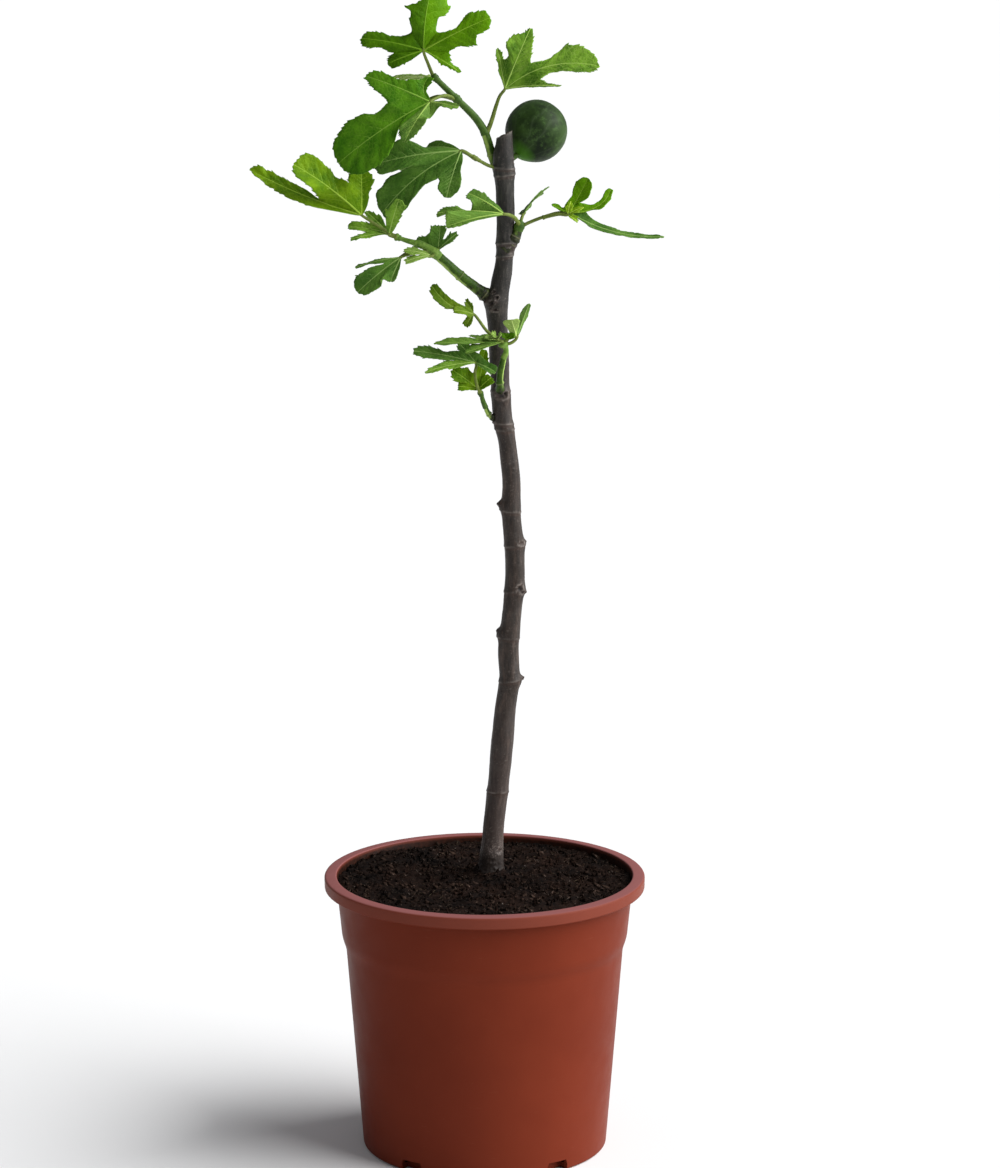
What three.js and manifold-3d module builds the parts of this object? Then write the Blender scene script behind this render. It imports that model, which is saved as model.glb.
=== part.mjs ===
// A young fig tree in a round nursery pot: one slightly crooked stem cut off short at the
// top, five green shoots that carry lobed leaves, and one fig beside the cut.
// Millimetres, +Z up. The origin is the middle of the pot's flat underside.
// X is to the right and Y to the back when the tree is seen from its front.

import * as THREE from 'three';
import { mergeVertices } from 'three/addons/utils/BufferGeometryUtils.js';
import Module from 'manifold-3d';

const wasm = await Module();
wasm.setup();

// Pot
const POT_HEIGHT = 200;
const POT_WALL = 2.6;
const POT_FLOOR = 4;
const RIM_RADIUS = 115;
const RIM_MOUTH_RADIUS = 106.4;
const RIM_DROP = 9;
const RIM_ROUNDING = 0.8;
const MOUTH_DEPTH = 14;
const NECK_TOP_RADIUS = 106;
const NECK_FOOT_RADIUS = 102.4;
const SHOULDER_HEIGHT = 151;
const SHOULDER_STEP = 4;
const WALL_TOP_RADIUS = 99.6;
const FOOT_RADIUS = 88;
const FOOT_ROUNDING = 1;
const POT_SEGMENTS = 48;
const NOTCHES = 5;
const NOTCH_WIDTH = 18;
const NOTCH_HEIGHT = 8;
const NOTCH_DEPTH = 9;

// Compost
const COMPOST_EDGE_HEIGHT = 194;
const COMPOST_EDGE_RADIUS = 104.7;
const COMPOST_EDGE_ROUNDING = 0.4;
const COMPOST_NECK_HEIGHT = 185;
const COMPOST_NECK_RADIUS = 102.7;
const COMPOST_FOOT_RISE = 9;
const COMPOST_RINGS = [0.97, 0.84, 0.7, 0.56, 0.42, 0.28];
const COMPOST_LUMP = 1.2;
const COMPOST_SEED = 11;
const SEAT_RADIUS = 15;

// Stem
const CLEARANCE = 0.3;
const STEM_FOOT = [4, 18, 196];
const STEM_SIDES = 12;
const STEM_STEPS = 54;
const FLARE = 1.5;
const FLARE_HEIGHT = 9;
const CUT_SLOPE = 0.5;

// The stem's wandering line: [height, right, back, thickness].
const STEM_LINE = [
  [196, 4, 18, 16.5],
  [229, 6.4, 17, 15],
  [265, 10.2, 17, 15.4],
  [294, 12.8, 16, 16],
  [318, 15, 16, 15],
  [340, 17.8, 15, 14.6],
  [360, 17, 15, 14.8],
  [383, 18.9, 14, 14],
  [412, 21.6, 14, 14],
  [436, 21.2, 14, 14],
  [458, 19, 13, 13.6],
  [484, 19, 13, 12.6],
  [510, 16.2, 12, 12.6],
  [524, 13.6, 12, 13.6],
  [550, 11.4, 11, 13.2],
  [590, 9.6, 11, 13.8],
  [608, 8.8, 10, 15.4],
  [624, 11.6, 10, 13.8],
  [642, 14.2, 10, 12.2],
  [688, 14.6, 9, 13],
  [708, 13.3, 8, 14.6],
  [728, 13.8, 8, 11.2],
];

// Swollen joints on the stem where leaves once grew: [height, bearing in degrees, swelling].
// Bearing 0 is right, 90 is back.
const STEM_JOINTS = [
  [210, 250, 0.8],
  [256, 60, 0.7],
  [338, 0, 2.4],
  [373, 180, 2.2],
  [405, 330, 1.2],
  [438, 20, 1],
  [465, 180, 1.8],
  [523, 90, 0.9],
  [546, 270, 1.6],
  [612, 185, 2.2],
  [652, 345, 2],
  [702, 10, 0.9],
  [717, 200, 0.5],
];
const JOINT_HEIGHT = 4.5;

// Leaves
const LEAF_THICKNESS = 1;
const LEAF_FOLD = 0.22;
const LEAF_ARCH = 0.24;
const SINUS_DEPTH = 0.45;
const LOBE_SIDE = [[0.48, 0.76], [0.73, 1], [0.92, 0.7]];
const LOBE_SHOULDER = [0.22, 0.5];
const LOBE_HEART = 0.56;
const STALK_SIDES = 5;
const STALK_RADIUS = 1.3;
const STALK_TIP_RADIUS = 0.9;
const STALK_SINK = 5;

// Finishes
const potPlastic = new THREE.MeshStandardMaterial({ color: 0x93483a, roughness: 0.45, metalness: 0 });
const compostFinish = new THREE.MeshStandardMaterial({ color: 0x1d1512, roughness: 0.95, metalness: 0 });
const barkFinish = new THREE.MeshStandardMaterial({ color: 0x4a4144, roughness: 0.8, metalness: 0 });
const shootFinish = new THREE.MeshStandardMaterial({ color: 0x54761f, roughness: 0.55, metalness: 0 });
const leafFinish = new THREE.MeshStandardMaterial({ color: 0x3f7d18, roughness: 0.55, metalness: 0 });
const figFinish = new THREE.MeshStandardMaterial({ color: 0x24401f, roughness: 0.5, metalness: 0 });

// ---------------------------------------------------------------- shared making of solids

function vector(values) {
  return new THREE.Vector3(...values);
}

// A repeatable source of numbers from 0 to 1.
function seededNumbers(seed) {
  let state = seed;
  return () => {
    state = (state * 1664525 + 1013904223) % 4294967296;
    return state / 4294967296;
  };
}

// Welds a closed geometry and turns it into a solid that can be joined and cut.
function toSolid(geometry) {
  geometry.deleteAttribute('normal');
  geometry.deleteAttribute('uv');
  const welded = mergeVertices(geometry, 1e-4);
  const index = welded.index.array;
  const triangles = [];
  for (let i = 0; i < index.length; i += 3) {
    const [a, b, c] = [index[i], index[i + 1], index[i + 2]];
    if (a !== b && b !== c && c !== a) triangles.push(a, b, c);
  }
  return new wasm.Manifold(new wasm.Mesh({
    numProp: 3,
    vertProperties: new Float32Array(welded.attributes.position.array),
    triVerts: new Uint32Array(triangles),
  }));
}

function toMesh(name, solid, finish) {
  const { numProp, vertProperties, triVerts } = solid.getMesh();
  const positions = [];
  for (let i = 0; i < vertProperties.length; i += numProp) {
    positions.push(vertProperties[i], vertProperties[i + 1], vertProperties[i + 2]);
  }
  const geometry = new THREE.BufferGeometry();
  geometry.setAttribute('position', new THREE.Float32BufferAttribute(positions, 3));
  geometry.setIndex(Array.from(triVerts));
  geometry.computeVertexNormals();
  const mesh = new THREE.Mesh(geometry, finish);
  mesh.name = name;
  return mesh;
}

// A round body turned about the upright axis from a profile of [radius, height] points.
function turned(profile, segments) {
  const points = profile.map(([radius, height]) => new THREE.Vector2(radius, height));
  return new THREE.LatheGeometry(points, segments).rotateX(Math.PI / 2);
}

// One round, evenly tapering limb along a smooth line through its points. Extra makes it
// that much thicker all round and longer at its tip.
function limb(points, startRadius, endRadius, sides = 8, steps = 8, extra = 0) {
  const line = new THREE.CatmullRomCurve3(points.map(vector));
  const frames = line.computeFrenetFrames(steps, false);
  const geometry = new THREE.CylinderGeometry(1, 1, 1, sides, steps);
  const position = geometry.attributes.position;
  for (let i = 0; i < position.count; i++) {
    const step = Math.round((position.getY(i) + 0.5) * steps);
    const radius = THREE.MathUtils.lerp(startRadius, endRadius, step / steps) + extra;
    const place = line.getPointAt(step / steps);
    if (step === steps) place.addScaledVector(frames.tangents[step], extra);
    place.addScaledVector(frames.binormals[step], position.getX(i) * radius);
    place.addScaledVector(frames.normals[step], position.getZ(i) * radius);
    position.setXYZ(i, place.x, place.y, place.z);
  }
  return toSolid(geometry);
}

// ---------------------------------------------------------------- pot

// The moulded pot: a flat-topped rim, a tapering neck, a shoulder step and a tapering wall.
function potProfile() {
  const rimFoot = POT_HEIGHT - RIM_DROP;
  return [
    [0, 0],
    [FOOT_RADIUS - FOOT_ROUNDING, 0],
    [FOOT_RADIUS, FOOT_ROUNDING],
    [WALL_TOP_RADIUS, SHOULDER_HEIGHT - SHOULDER_STEP],
    [NECK_FOOT_RADIUS, SHOULDER_HEIGHT + SHOULDER_STEP],
    [NECK_TOP_RADIUS, rimFoot],
    [RIM_RADIUS - RIM_ROUNDING, rimFoot],
    [RIM_RADIUS, rimFoot + RIM_ROUNDING],
    [RIM_RADIUS, POT_HEIGHT - RIM_ROUNDING],
    [RIM_RADIUS - RIM_ROUNDING, POT_HEIGHT],
    [RIM_MOUTH_RADIUS, POT_HEIGHT],
    [NECK_TOP_RADIUS - POT_WALL, POT_HEIGHT - MOUTH_DEPTH],
    [NECK_FOOT_RADIUS - POT_WALL, SHOULDER_HEIGHT + SHOULDER_STEP],
    [WALL_TOP_RADIUS - POT_WALL, SHOULDER_HEIGHT - SHOULDER_STEP],
    [FOOT_RADIUS - POT_WALL, POT_FLOOR],
    [0, POT_FLOOR],
  ];
}

// Drain notches are cut through the corner between wall and floor.
function makePot() {
  let pot = toSolid(turned(potProfile(), POT_SEGMENTS));
  for (let k = 0; k < NOTCHES; k++) {
    const bearing = -Math.PI / 2 + ((k + 0.5) * 2 * Math.PI) / NOTCHES;
    const notch = new THREE.BoxGeometry(NOTCH_DEPTH * 2, NOTCH_WIDTH, NOTCH_HEIGHT * 2);
    notch.translate(FOOT_RADIUS + 1, 0, 0).rotateZ(bearing);
    pot = pot.subtract(toSolid(notch));
  }
  return toMesh('pot', pot, potPlastic);
}

// ---------------------------------------------------------------- compost

// Fills the pot to just under the mouth, lumpy on top, with a level seat under the stem.
function makeCompost() {
  const inset = POT_WALL + 2 * CLEARANCE;
  const profile = [
    [0, POT_FLOOR + CLEARANCE],
    [FOOT_RADIUS - NOTCH_DEPTH - inset, POT_FLOOR + CLEARANCE],
    [FOOT_RADIUS - inset, POT_FLOOR + COMPOST_FOOT_RISE],
    [WALL_TOP_RADIUS - inset, SHOULDER_HEIGHT - SHOULDER_STEP],
    [NECK_FOOT_RADIUS - inset, SHOULDER_HEIGHT + SHOULDER_STEP],
    [COMPOST_NECK_RADIUS, COMPOST_NECK_HEIGHT],
    [COMPOST_EDGE_RADIUS - COMPOST_EDGE_ROUNDING, COMPOST_EDGE_HEIGHT - 1],
    ...COMPOST_RINGS.map((share) => [share * COMPOST_EDGE_RADIUS, COMPOST_EDGE_HEIGHT]),
    [SEAT_RADIUS, STEM_FOOT[2]],
    [0, STEM_FOOT[2]],
  ];
  const body = turned(profile, POT_SEGMENTS).deleteAttribute('normal').deleteAttribute('uv');
  const geometry = mergeVertices(body);
  const position = geometry.attributes.position;
  const random = seededNumbers(COMPOST_SEED);
  for (let i = 0; i < position.count; i++) {
    const radius = Math.hypot(position.getX(i), position.getY(i));
    if (position.getZ(i) < COMPOST_EDGE_HEIGHT - 0.1) continue;
    const spread = COMPOST_EDGE_RADIUS - SEAT_RADIUS;
    const inward = THREE.MathUtils.clamp(1 - (radius - SEAT_RADIUS) / spread, 0, 1);
    const onSeat = radius < SEAT_RADIUS + 0.1;
    const lump = onSeat ? 0 : COMPOST_LUMP * (random() - 0.5) * 2;
    const rise = (STEM_FOOT[2] - COMPOST_EDGE_HEIGHT) * inward ** 2;
    position.setX(i, position.getX(i) + STEM_FOOT[0] * inward);
    position.setY(i, position.getY(i) + STEM_FOOT[1] * inward);
    position.setZ(i, onSeat ? STEM_FOOT[2] : COMPOST_EDGE_HEIGHT + rise + lump);
  }
  return toMesh('compost', toSolid(geometry), compostFinish);
}

// ---------------------------------------------------------------- stem

// Radius of the stem at a height, in one direction round it, with its joints and its foot.
function stemRadius(thickness, height, bearing) {
  let radius = thickness / 2;
  for (const [jointHeight, jointBearing, swelling] of STEM_JOINTS) {
    const near = Math.exp(-(((height - jointHeight) / JOINT_HEIGHT) ** 2));
    const facing = (1 + Math.cos(bearing - THREE.MathUtils.degToRad(jointBearing))) / 2;
    radius += swelling * near * (0.15 + 0.85 * facing ** 3);
  }
  const aboveFoot = height - STEM_FOOT[2];
  const root = 1 + 0.35 * Math.cos(3 * bearing + 0.6);
  return radius + FLARE * root * Math.exp(-aboveFoot / FLARE_HEIGHT);
}

// The woody stem from the level cut at the compost to the slanted cut at its top.
function stemSolid(extra = 0) {
  const centres = STEM_LINE.map(([height, right, back]) => new THREE.Vector3(right, back, height));
  const line = new THREE.CatmullRomCurve3(centres);
  const spans = STEM_LINE.length - 1;
  const geometry = new THREE.CylinderGeometry(1, 1, 1, STEM_SIDES, STEM_STEPS);
  const position = geometry.attributes.position;
  for (let i = 0; i < position.count; i++) {
    const share = position.getY(i) + 0.5;
    const centre = line.getPointAt(share);
    const below = STEM_LINE.findLastIndex(([height]) => height <= centre.z + 1e-6);
    const span = Math.min(spans - 1, below);
    const [low, , , lowThickness] = STEM_LINE[span];
    const [high, , , highThickness] = STEM_LINE[span + 1];
    const between = (centre.z - low) / (high - low);
    const thickness = THREE.MathUtils.lerp(lowThickness, highThickness, between);
    const acrossX = position.getX(i);
    const acrossY = -position.getZ(i);
    const spread = Math.hypot(acrossX, acrossY);
    const radius = stemRadius(thickness, centre.z, Math.atan2(acrossY, acrossX)) + extra;
    const x = acrossX * (spread > 0.5 ? radius : 0);
    const y = acrossY * (spread > 0.5 ? radius : 0);
    let z = centre.z;
    if (share < 1e-6) z += CLEARANCE - extra;
    if (share > 1 - 1e-6) z += x * CUT_SLOPE + extra;
    position.setXYZ(i, centre.x + x, centre.y + y, z);
  }
  return toSolid(geometry);
}

const aroundStem = stemSolid(CLEARANCE);

// ---------------------------------------------------------------- shoots

const SHOOT_SIDES = 10;
const SHOOT_STEPS = 8;

// The woody or green shoots as [name, start radius, end radius, points]. Each starts
// inside the stem, is trimmed clear of it, and ends where its leaves begin.
const SHOOTS = [
  ['bough_top', 3.3, 2.9, [[11, 10, 700], [6.6, 12.6, 710], [3.8, 13.4, 719], [1, 13.2, 728]]],
  [
    'bough_left', 4.1, 3.2,
    [[8, 10, 610], [-0.8, 9, 617.4], [-15.5, 6, 629], [-26, 3, 638.8], [-31, 2, 643.4]],
  ],
  ['bough_right', 5.2, 3.7, [[15, 8.6, 648], [19.4, 8.6, 652.6], [22.6, 8.4, 657], [24.8, 8, 662]]],
  ['bough_front', 3, 2.2, [[12.4, 7, 546], [12.3, 1, 551.4], [11.4, -3, 563], [14.2, -5, 573.4]]],
  ['bough_low', 2.6, 2, [[10, 11.4, 526.6], [6.2, 10, 529.2], [3, 8, 532.4], [0.9, 6.2, 537]]],
];

function shootSolid([, startRadius, endRadius, points], extra = 0) {
  return limb(points, startRadius, endRadius, SHOOT_SIDES, SHOOT_STEPS, extra);
}

function makeShoot(shoot) {
  return toMesh(shoot[0], largestPiece(shootSolid(shoot).subtract(aroundStem)), shootFinish);
}

// The room that the stem and the shoots take, with clearance all round them.
const aroundShoots = SHOOTS.map((shoot) => shootSolid(shoot, CLEARANCE));
const aroundWood = wasm.Manifold.union([aroundStem, ...aroundShoots]);

// Cutting a shoot at the stem can leave a scrap on the far side, which is dropped.
function largestPiece(solid) {
  return solid.decompose().reduce((best, piece) => (piece.volume() > best.volume() ? piece : best));
}

// ---------------------------------------------------------------- leaves

// One lobed leaf. Each lobe is [right, back, up, width] from the leaf's base to its tip,
// and the lobes go round to the left, seen from the leaf's upper side.
function leafBlade({ base, upper, lobes, fold = LEAF_FOLD, arch = LEAF_ARCH }) {
  const foot = vector(base);
  const facing = vector(upper).normalize();
  const fingers = lobes.map(([right, back, up, width]) => {
    const reach = new THREE.Vector3(right, back, up);
    const length = reach.length();
    const along = reach.normalize();
    const side = facing.clone().cross(along).normalize();
    return { length, along, side, normal: along.clone().cross(side), halfWidth: width / 2 };
  });
  const places = [];
  const normals = [];
  const addPlace = (place, normal) => {
    places.push(place);
    normals.push(normal.clone().normalize());
    return places.length - 1;
  };
  const onFinger = (finger, share, across) => {
    const off = Math.abs(across) * fold + arch * share * (1 - share) * finger.length;
    const place = foot.clone().addScaledVector(finger.along, share * finger.length);
    place.addScaledVector(finger.side, across).addScaledVector(finger.normal, off);
    return addPlace(place, finger.normal);
  };
  const sinus = (right, left) => {
    const middle = right.along.clone().add(left.along).normalize();
    const half = Math.cos(right.along.angleTo(left.along) / 2);
    const depth = SINUS_DEPTH * Math.min(right.length, left.length) * half;
    const normal = right.normal.clone().add(left.normal).normalize();
    const lift = depth * (fold + arch) * 0.5;
    return addPlace(foot.clone().addScaledVector(middle, depth).addScaledVector(normal, lift), normal);
  };
  const baseIndex = addPlace(foot, facing);
  const sinuses = fingers.slice(1).map((finger, i) => sinus(fingers[i], finger));
  const triangles = [];
  const border = [baseIndex];
  fingers.forEach((finger, i) => {
    const onSide = (sign, [share, width]) => onFinger(finger, share, sign * width * finger.halfWidth);
    const sidePoints = (sign) => LOBE_SIDE.map((point) => onSide(sign, point));
    const shoulder = (sign) => onSide(sign, LOBE_SHOULDER);
    const rightFoot = i > 0 ? sinuses[i - 1] : shoulder(-1);
    const leftFoot = i < sinuses.length ? sinuses[i] : shoulder(1);
    const rightSide = sidePoints(-1);
    const leftSide = sidePoints(1).reverse();
    const tip = onFinger(finger, 1, 0);
    const heart = onFinger(finger, LOBE_HEART, 0);
    const ring = [baseIndex, rightFoot, ...rightSide, tip, ...leftSide, leftFoot];
    ring.forEach((place, k) => triangles.push([heart, place, ring[(k + 1) % ring.length]]));
    if (i === 0) border.push(rightFoot);
    border.push(...rightSide, tip, ...leftSide, leftFoot);
  });
  return thickened(places, normals, triangles, border);
}

// Gives a sheet of triangles its thickness, with a wall along its border.
function thickened(places, normals, triangles, border) {
  const count = places.length;
  const positions = [];
  for (const lift of [LEAF_THICKNESS / 2, -LEAF_THICKNESS / 2]) {
    places.forEach((place, i) => positions.push(...place.clone().addScaledVector(normals[i], lift)));
  }
  const index = [];
  for (const [a, b, c] of triangles) index.push(a, b, c, a + count, c + count, b + count);
  border.forEach((from, k) => {
    const to = border[(k + 1) % border.length];
    index.push(from, from + count, to, to, from + count, to + count);
  });
  const geometry = new THREE.BufferGeometry();
  geometry.setAttribute('position', new THREE.Float32BufferAttribute(positions, 3));
  geometry.setIndex(index);
  return toSolid(geometry);
}

// A leaf drawn by rule: five lobes fanned about its heading.
function fannedLeaf(base, heading, upper, length, stalk) {
  const facing = vector(upper).normalize();
  const ahead = vector(heading).normalize();
  const fan = [[-100, 0.5], [-48, 0.82], [0, 1], [48, 0.82], [100, 0.5]];
  const lobes = fan.map(([degrees, share]) => {
    const reach = ahead.clone().applyAxisAngle(facing, THREE.MathUtils.degToRad(degrees));
    return [...reach.multiplyScalar(share * length), share * length * 0.42];
  });
  return { base, upper, lobes, stalk };
}

// The leaves of one bough, with their stalks and the shoot's tip, joined into one body.
function makeFoliage(name, { stem, leaves }) {
  const { points, startRadius, endRadius } = stem;
  const parts = [limb(points, startRadius, endRadius, STALK_SIDES + 2, points.length + 2)];
  for (const leaf of leaves) {
    const middle = vector(leaf.lobes[Math.floor(leaf.lobes.length / 2)].slice(0, 3)).setLength(STALK_SINK);
    const end = vector(leaf.base).add(middle);
    const stalkPoints = [...leaf.stalk, leaf.base, end.toArray()];
    const radius = leaf.stalkRadius ?? STALK_RADIUS;
    parts.push(leafBlade(leaf));
    parts.push(limb(stalkPoints, radius, STALK_TIP_RADIUS, STALK_SIDES, stalkPoints.length + 1));
  }
  return toMesh(name, largestPiece(wasm.Manifold.union(parts).subtract(aroundWood)), leafFinish);
}

const FOLIAGE_TOP = {
  stem: {
    startRadius: 2.9,
    endRadius: 1.9,
    points: [
      [1, 13.2, 728], [-1, 12.8, 732], [-5.9, 12, 739.2], [-19, 9, 752.6], [-29.6, 8, 763],
      [-35.3, 7, 768.8],
    ],
  },
  leaves: [
    {
      base: [-41.6, 4, 786.3],
      upper: [0.2, -0.85, 0.45],
      stalk: [[-35, 7.2, 768], [-38.6, 5.6, 777]],
      lobes: [
        [25, -4, -15, 5], [46, -5, 22.6, 21.5], [7, 8, 46, 30.1], [-43, 10, 7.4, 12.8],
        [-25, 2, -9.5, 9.2],
      ],
    },
    {
      base: [-37.2, -10, 752],
      upper: [-0.3, -0.8, 0.5],
      stalk: [[-22, 8.4, 757], [-26, 4, 756], [-31, -2, 755]],
      lobes: [
        [-1, 5, 16.5, 11], [-44, 8, 17, 15.8], [-63, -4, -42, 40.5], [-17, -16, -26, 14.6],
        [20, -6, -3, 5],
      ],
    },
    {
      base: [-36, 13, 766.6],
      upper: [0, 0, 1],
      stalk: [[-34, 7.4, 766.6]],
      lobes: [[-4, 32, -9, 14], [-20, 26, -6, 14], [-27, 4, -2, 12]],
    },
    {
      base: [14.4, 4, 759.8],
      upper: [0.1, -0.8, 0.55],
      stalk: [[1.5, 13, 728.5], [3.8, 12.6, 733.5], [5.6, 12, 738.5], [8.4, 9.6, 748], [11, 6.6, 755]],
      stalkRadius: 1.8,
      lobes: [[39, -12, 1.5, 6], [65, -6, 16, 20.5], [17.6, 4, 41.4, 19.3], [-5.2, 14, 27, 5]],
    },
    fannedLeaf(
      [-74, 32, 730], [-0.15, 0.95, -0.25], [-0.1, 0.25, 1], 36,
      [[-28, 8.2, 762.4], [-44, 18, 756], [-60, 27, 742]],
    ),
  ],
};

const FOLIAGE_UPPER_LEFT = {
  stem: {
    startRadius: 1.3,
    endRadius: 1.1,
    points: [[10, 6, 705], [3, 4.6, 707], [-3, 3, 710.4], [-8, 1.6, 713.6]],
  },
  leaves: [
    {
      base: [-16, 0, 717.4],
      upper: [-0.1, -0.8, 0.6],
      stalk: [[-7.6, 1.8, 713.2]],
      lobes: [[-24, 20, 1, 11], [-57, 6, -8, 23], [-54, -6, -43, 27], [-10, -16, -29, 14]],
    },
    fannedLeaf([-38, 38, 702], [-0.1, 0.9, -0.25], [0.1, 0.2, 1], 31, [[-5.6, 3, 711.6], [-18, 20, 715.4]]),
  ],
};

const FOLIAGE_LEFT = {
  stem: {
    startRadius: 3.2,
    endRadius: 1.3,
    points: [[-31, 2, 643.4], [-34.4, 1.2, 646.4], [-43.5, 0.4, 652], [-54.3, 0, 655.4], [-62, 1, 658]],
  },
  leaves: [
    {
      base: [-85, -4, 673.4],
      upper: [0.1, -0.75, 0.6],
      stalk: [[-61, 0.8, 657.6], [-74, -2, 666]],
      lobes: [[1, 4, 30, 17.5], [-46, -12, 36, 22], [-78, 14, 30, 11]],
    },
    {
      base: [-66.5, 2, 659.6],
      upper: [-0.2, -0.6, 0.75],
      stalk: [[-61, 1, 657.8]],
      lobes: [[3, 2, 17, 9], [-16, 6, 15, 8.6], [-28, -2, 5, 8.5], [-26, -10, -3, 5]],
    },
    {
      base: [-32, 7, 648],
      upper: [-0.1, -0.8, 0.5],
      stalk: [[-34, 1.4, 646]],
      lobes: [[13, 3, 11, 5.2], [1.5, 8, 16, 10], [-15, 4, 7, 10]],
    },
    {
      base: [-36.5, -5, 645],
      upper: [0, -0.5, 0.85],
      stalk: [[-34.6, 0.6, 646]],
      lobes: [[-19, -3, 4, 8], [-18, -9, -3, 6.8]],
    },
    {
      base: [-57.7, -7, 644.4],
      upper: [-0.1, -0.8, 0.55],
      stalk: [[-37, 0.6, 647.6], [-46, -4, 647.4]],
      lobes: [[-29, 6, -4.5, 5], [-30, -5, -24, 16.9], [-6, -8, -15, 7]],
    },
    fannedLeaf([-75, 30, 626], [-0.1, 0.95, -0.15], [-0.1, 0.3, 1], 21, [[-46, 0.6, 652], [-61, 14, 640]]),
  ],
};

const FOLIAGE_RIGHT = {
  stem: {
    startRadius: 3.3,
    endRadius: 2,
    points: [[25.2, 8, 662], [26, 7.8, 665.6], [26.4, 7.6, 668.6]],
  },
  leaves: [
    {
      base: [13.7, -9, 674.6],
      upper: [0, -0.7, 0.7],
      stalk: [[26, 6.8, 665.4], [22, 0.6, 671], [17.4, -6, 673.8]],
      stalkRadius: 1.7,
      lobes: [[-24.5, 4, 14, 10], [-47, -3, 2, 6.6], [-41, -12, -8, 8.4]],
    },
    {
      base: [28, 11, 673],
      upper: [-0.7, 0.08, 0.68],
      stalk: [[26.2, 8, 667]],
      fold: 0.1,
      lobes: [[18, 2, 19, 5.6], [13.5, 22, 12, 14], [4, 30, 1, 12]],
    },
    {
      base: [58.9, 0, 674.8],
      upper: [0, -0.45, 0.9],
      stalk: [[26, 7.4, 664.6], [31.5, 6.4, 667.4], [41, 4, 671.2], [52, 1.4, 674.6]],
      arch: -0.2,
      lobes: [[66, -8, -16, 10.6], [27, 12, 14, 7.4], [14, 6, 22, 14.6], [-12, 6, 5, 5]],
    },
  ],
};

const FOLIAGE_FRONT = {
  stem: {
    startRadius: 2.2,
    endRadius: 1.5,
    points: [[14.2, -5, 573.4], [16.4, -6, 578], [16.2, -7, 582], [14.4, -8.4, 585]],
  },
  leaves: [
    {
      base: [-7.5, -7, 604.6],
      upper: [-0.2, -0.7, 0.65],
      stalk: [[14, -8.4, 584.6], [9, -9, 588], [2.4, -8.6, 592.6]],
      lobes: [[-28.5, 2, 21.5, 7.4], [-14, -8, 3, 6], [-5, -5, -8, 5.2]],
    },
    {
      base: [12.4, -11, 586],
      upper: [0, -0.3, 0.95],
      stalk: [[14.8, -8, 584.4]],
      fold: 0.4,
      arch: 0,
      lobes: [[-22, 13, 2, 9], [-47, -2, -1, 10.4], [-25, -9, -6.5, 10.5]],
    },
    {
      base: [22.5, -8, 588],
      upper: [0, 0.9, 0.4],
      stalk: [[16.2, -7.6, 583.4]],
      lobes: [[-7, -4, 7, 6], [-3, -8, 14, 11], [9, 2, 24, 5]],
    },
    {
      base: [8.6, -11.4, 588],
      upper: [0, -0.5, 0.85],
      stalk: [[13.4, -9.4, 585.4]],
      lobes: [[-3, -3, 6, 5], [-8, -2, 4, 5.6]],
    },
  ],
};

const FOLIAGE_LOW = {
  stem: {
    startRadius: 2,
    endRadius: 1.3,
    points: [[0.9, 6.2, 537], [-0.8, 4, 541.6], [-2, 1, 546.4], [-3, -1, 549]],
  },
  leaves: [
    {
      base: [-4.1, -3, 551],
      upper: [0, -0.8, 0.6],
      stalk: [[-2.6, -0.4, 548]],
      lobes: [[9, -3, 9, 9], [4.5, 8, 27, 11], [-18, -2, 14, 13], [-14, -5, 3, 6.4]],
    },
    {
      base: [-6, -7, 570.6],
      upper: [-0.1, -0.65, 0.75],
      stalk: [[-2.8, -1, 548.6], [-5.4, -8, 556], [-6.4, -8.6, 564]],
      lobes: [[14, -6, -6, 7.6], [-10, 6, 11, 8.5], [-43, -2, 8.5, 10], [-35, -14, -5, 7.2]],
    },
  ],
};

// ---------------------------------------------------------------- fig

const FIG_RADIUS = 21.4;
const FIG_MIDDLE = [36.6, 28.5, 728.9];
const FIG_STALK = [[14, 9, 709], [19.6, 14.6, 711], [24.6, 18.2, 714.6], [30, 22, 720]];
const FIG_STALK_RADIUS = 1.9;
const FIG_STALK_END_RADIUS = 2.4;
const FIG_NECK = 0.16;
const FIG_NECK_REACH = 0.1;

// A round fruit that draws in to a short neck on its stalk.
function makeFig() {
  const body = new THREE.SphereGeometry(FIG_RADIUS, 20, 14);
  const middle = vector(FIG_MIDDLE);
  const neck = vector(FIG_STALK[2]).sub(middle).normalize();
  const upright = new THREE.Vector3(0, -1, 0);
  const position = body.attributes.position;
  for (let i = 0; i < position.count; i++) {
    const place = new THREE.Vector3().fromBufferAttribute(position, i);
    const towardsNeck = -place.y / FIG_RADIUS;
    const pull = Math.max(0, towardsNeck) ** 4;
    const slim = 1 - FIG_NECK * pull;
    place.set(place.x * slim, place.y * (1 + FIG_NECK_REACH * pull), place.z * slim);
    position.setXYZ(i, place.x, place.y, place.z);
  }
  body.applyQuaternion(new THREE.Quaternion().setFromUnitVectors(upright, neck));
  body.translate(...FIG_MIDDLE);
  const stalk = limb(FIG_STALK, FIG_STALK_RADIUS, FIG_STALK_END_RADIUS, 8, 6);
  const solid = toSolid(body).add(stalk).subtract(aroundStem);
  return toMesh('fig_fruit', largestPiece(solid), figFinish);
}

// ---------------------------------------------------------------- the whole plant

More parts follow.
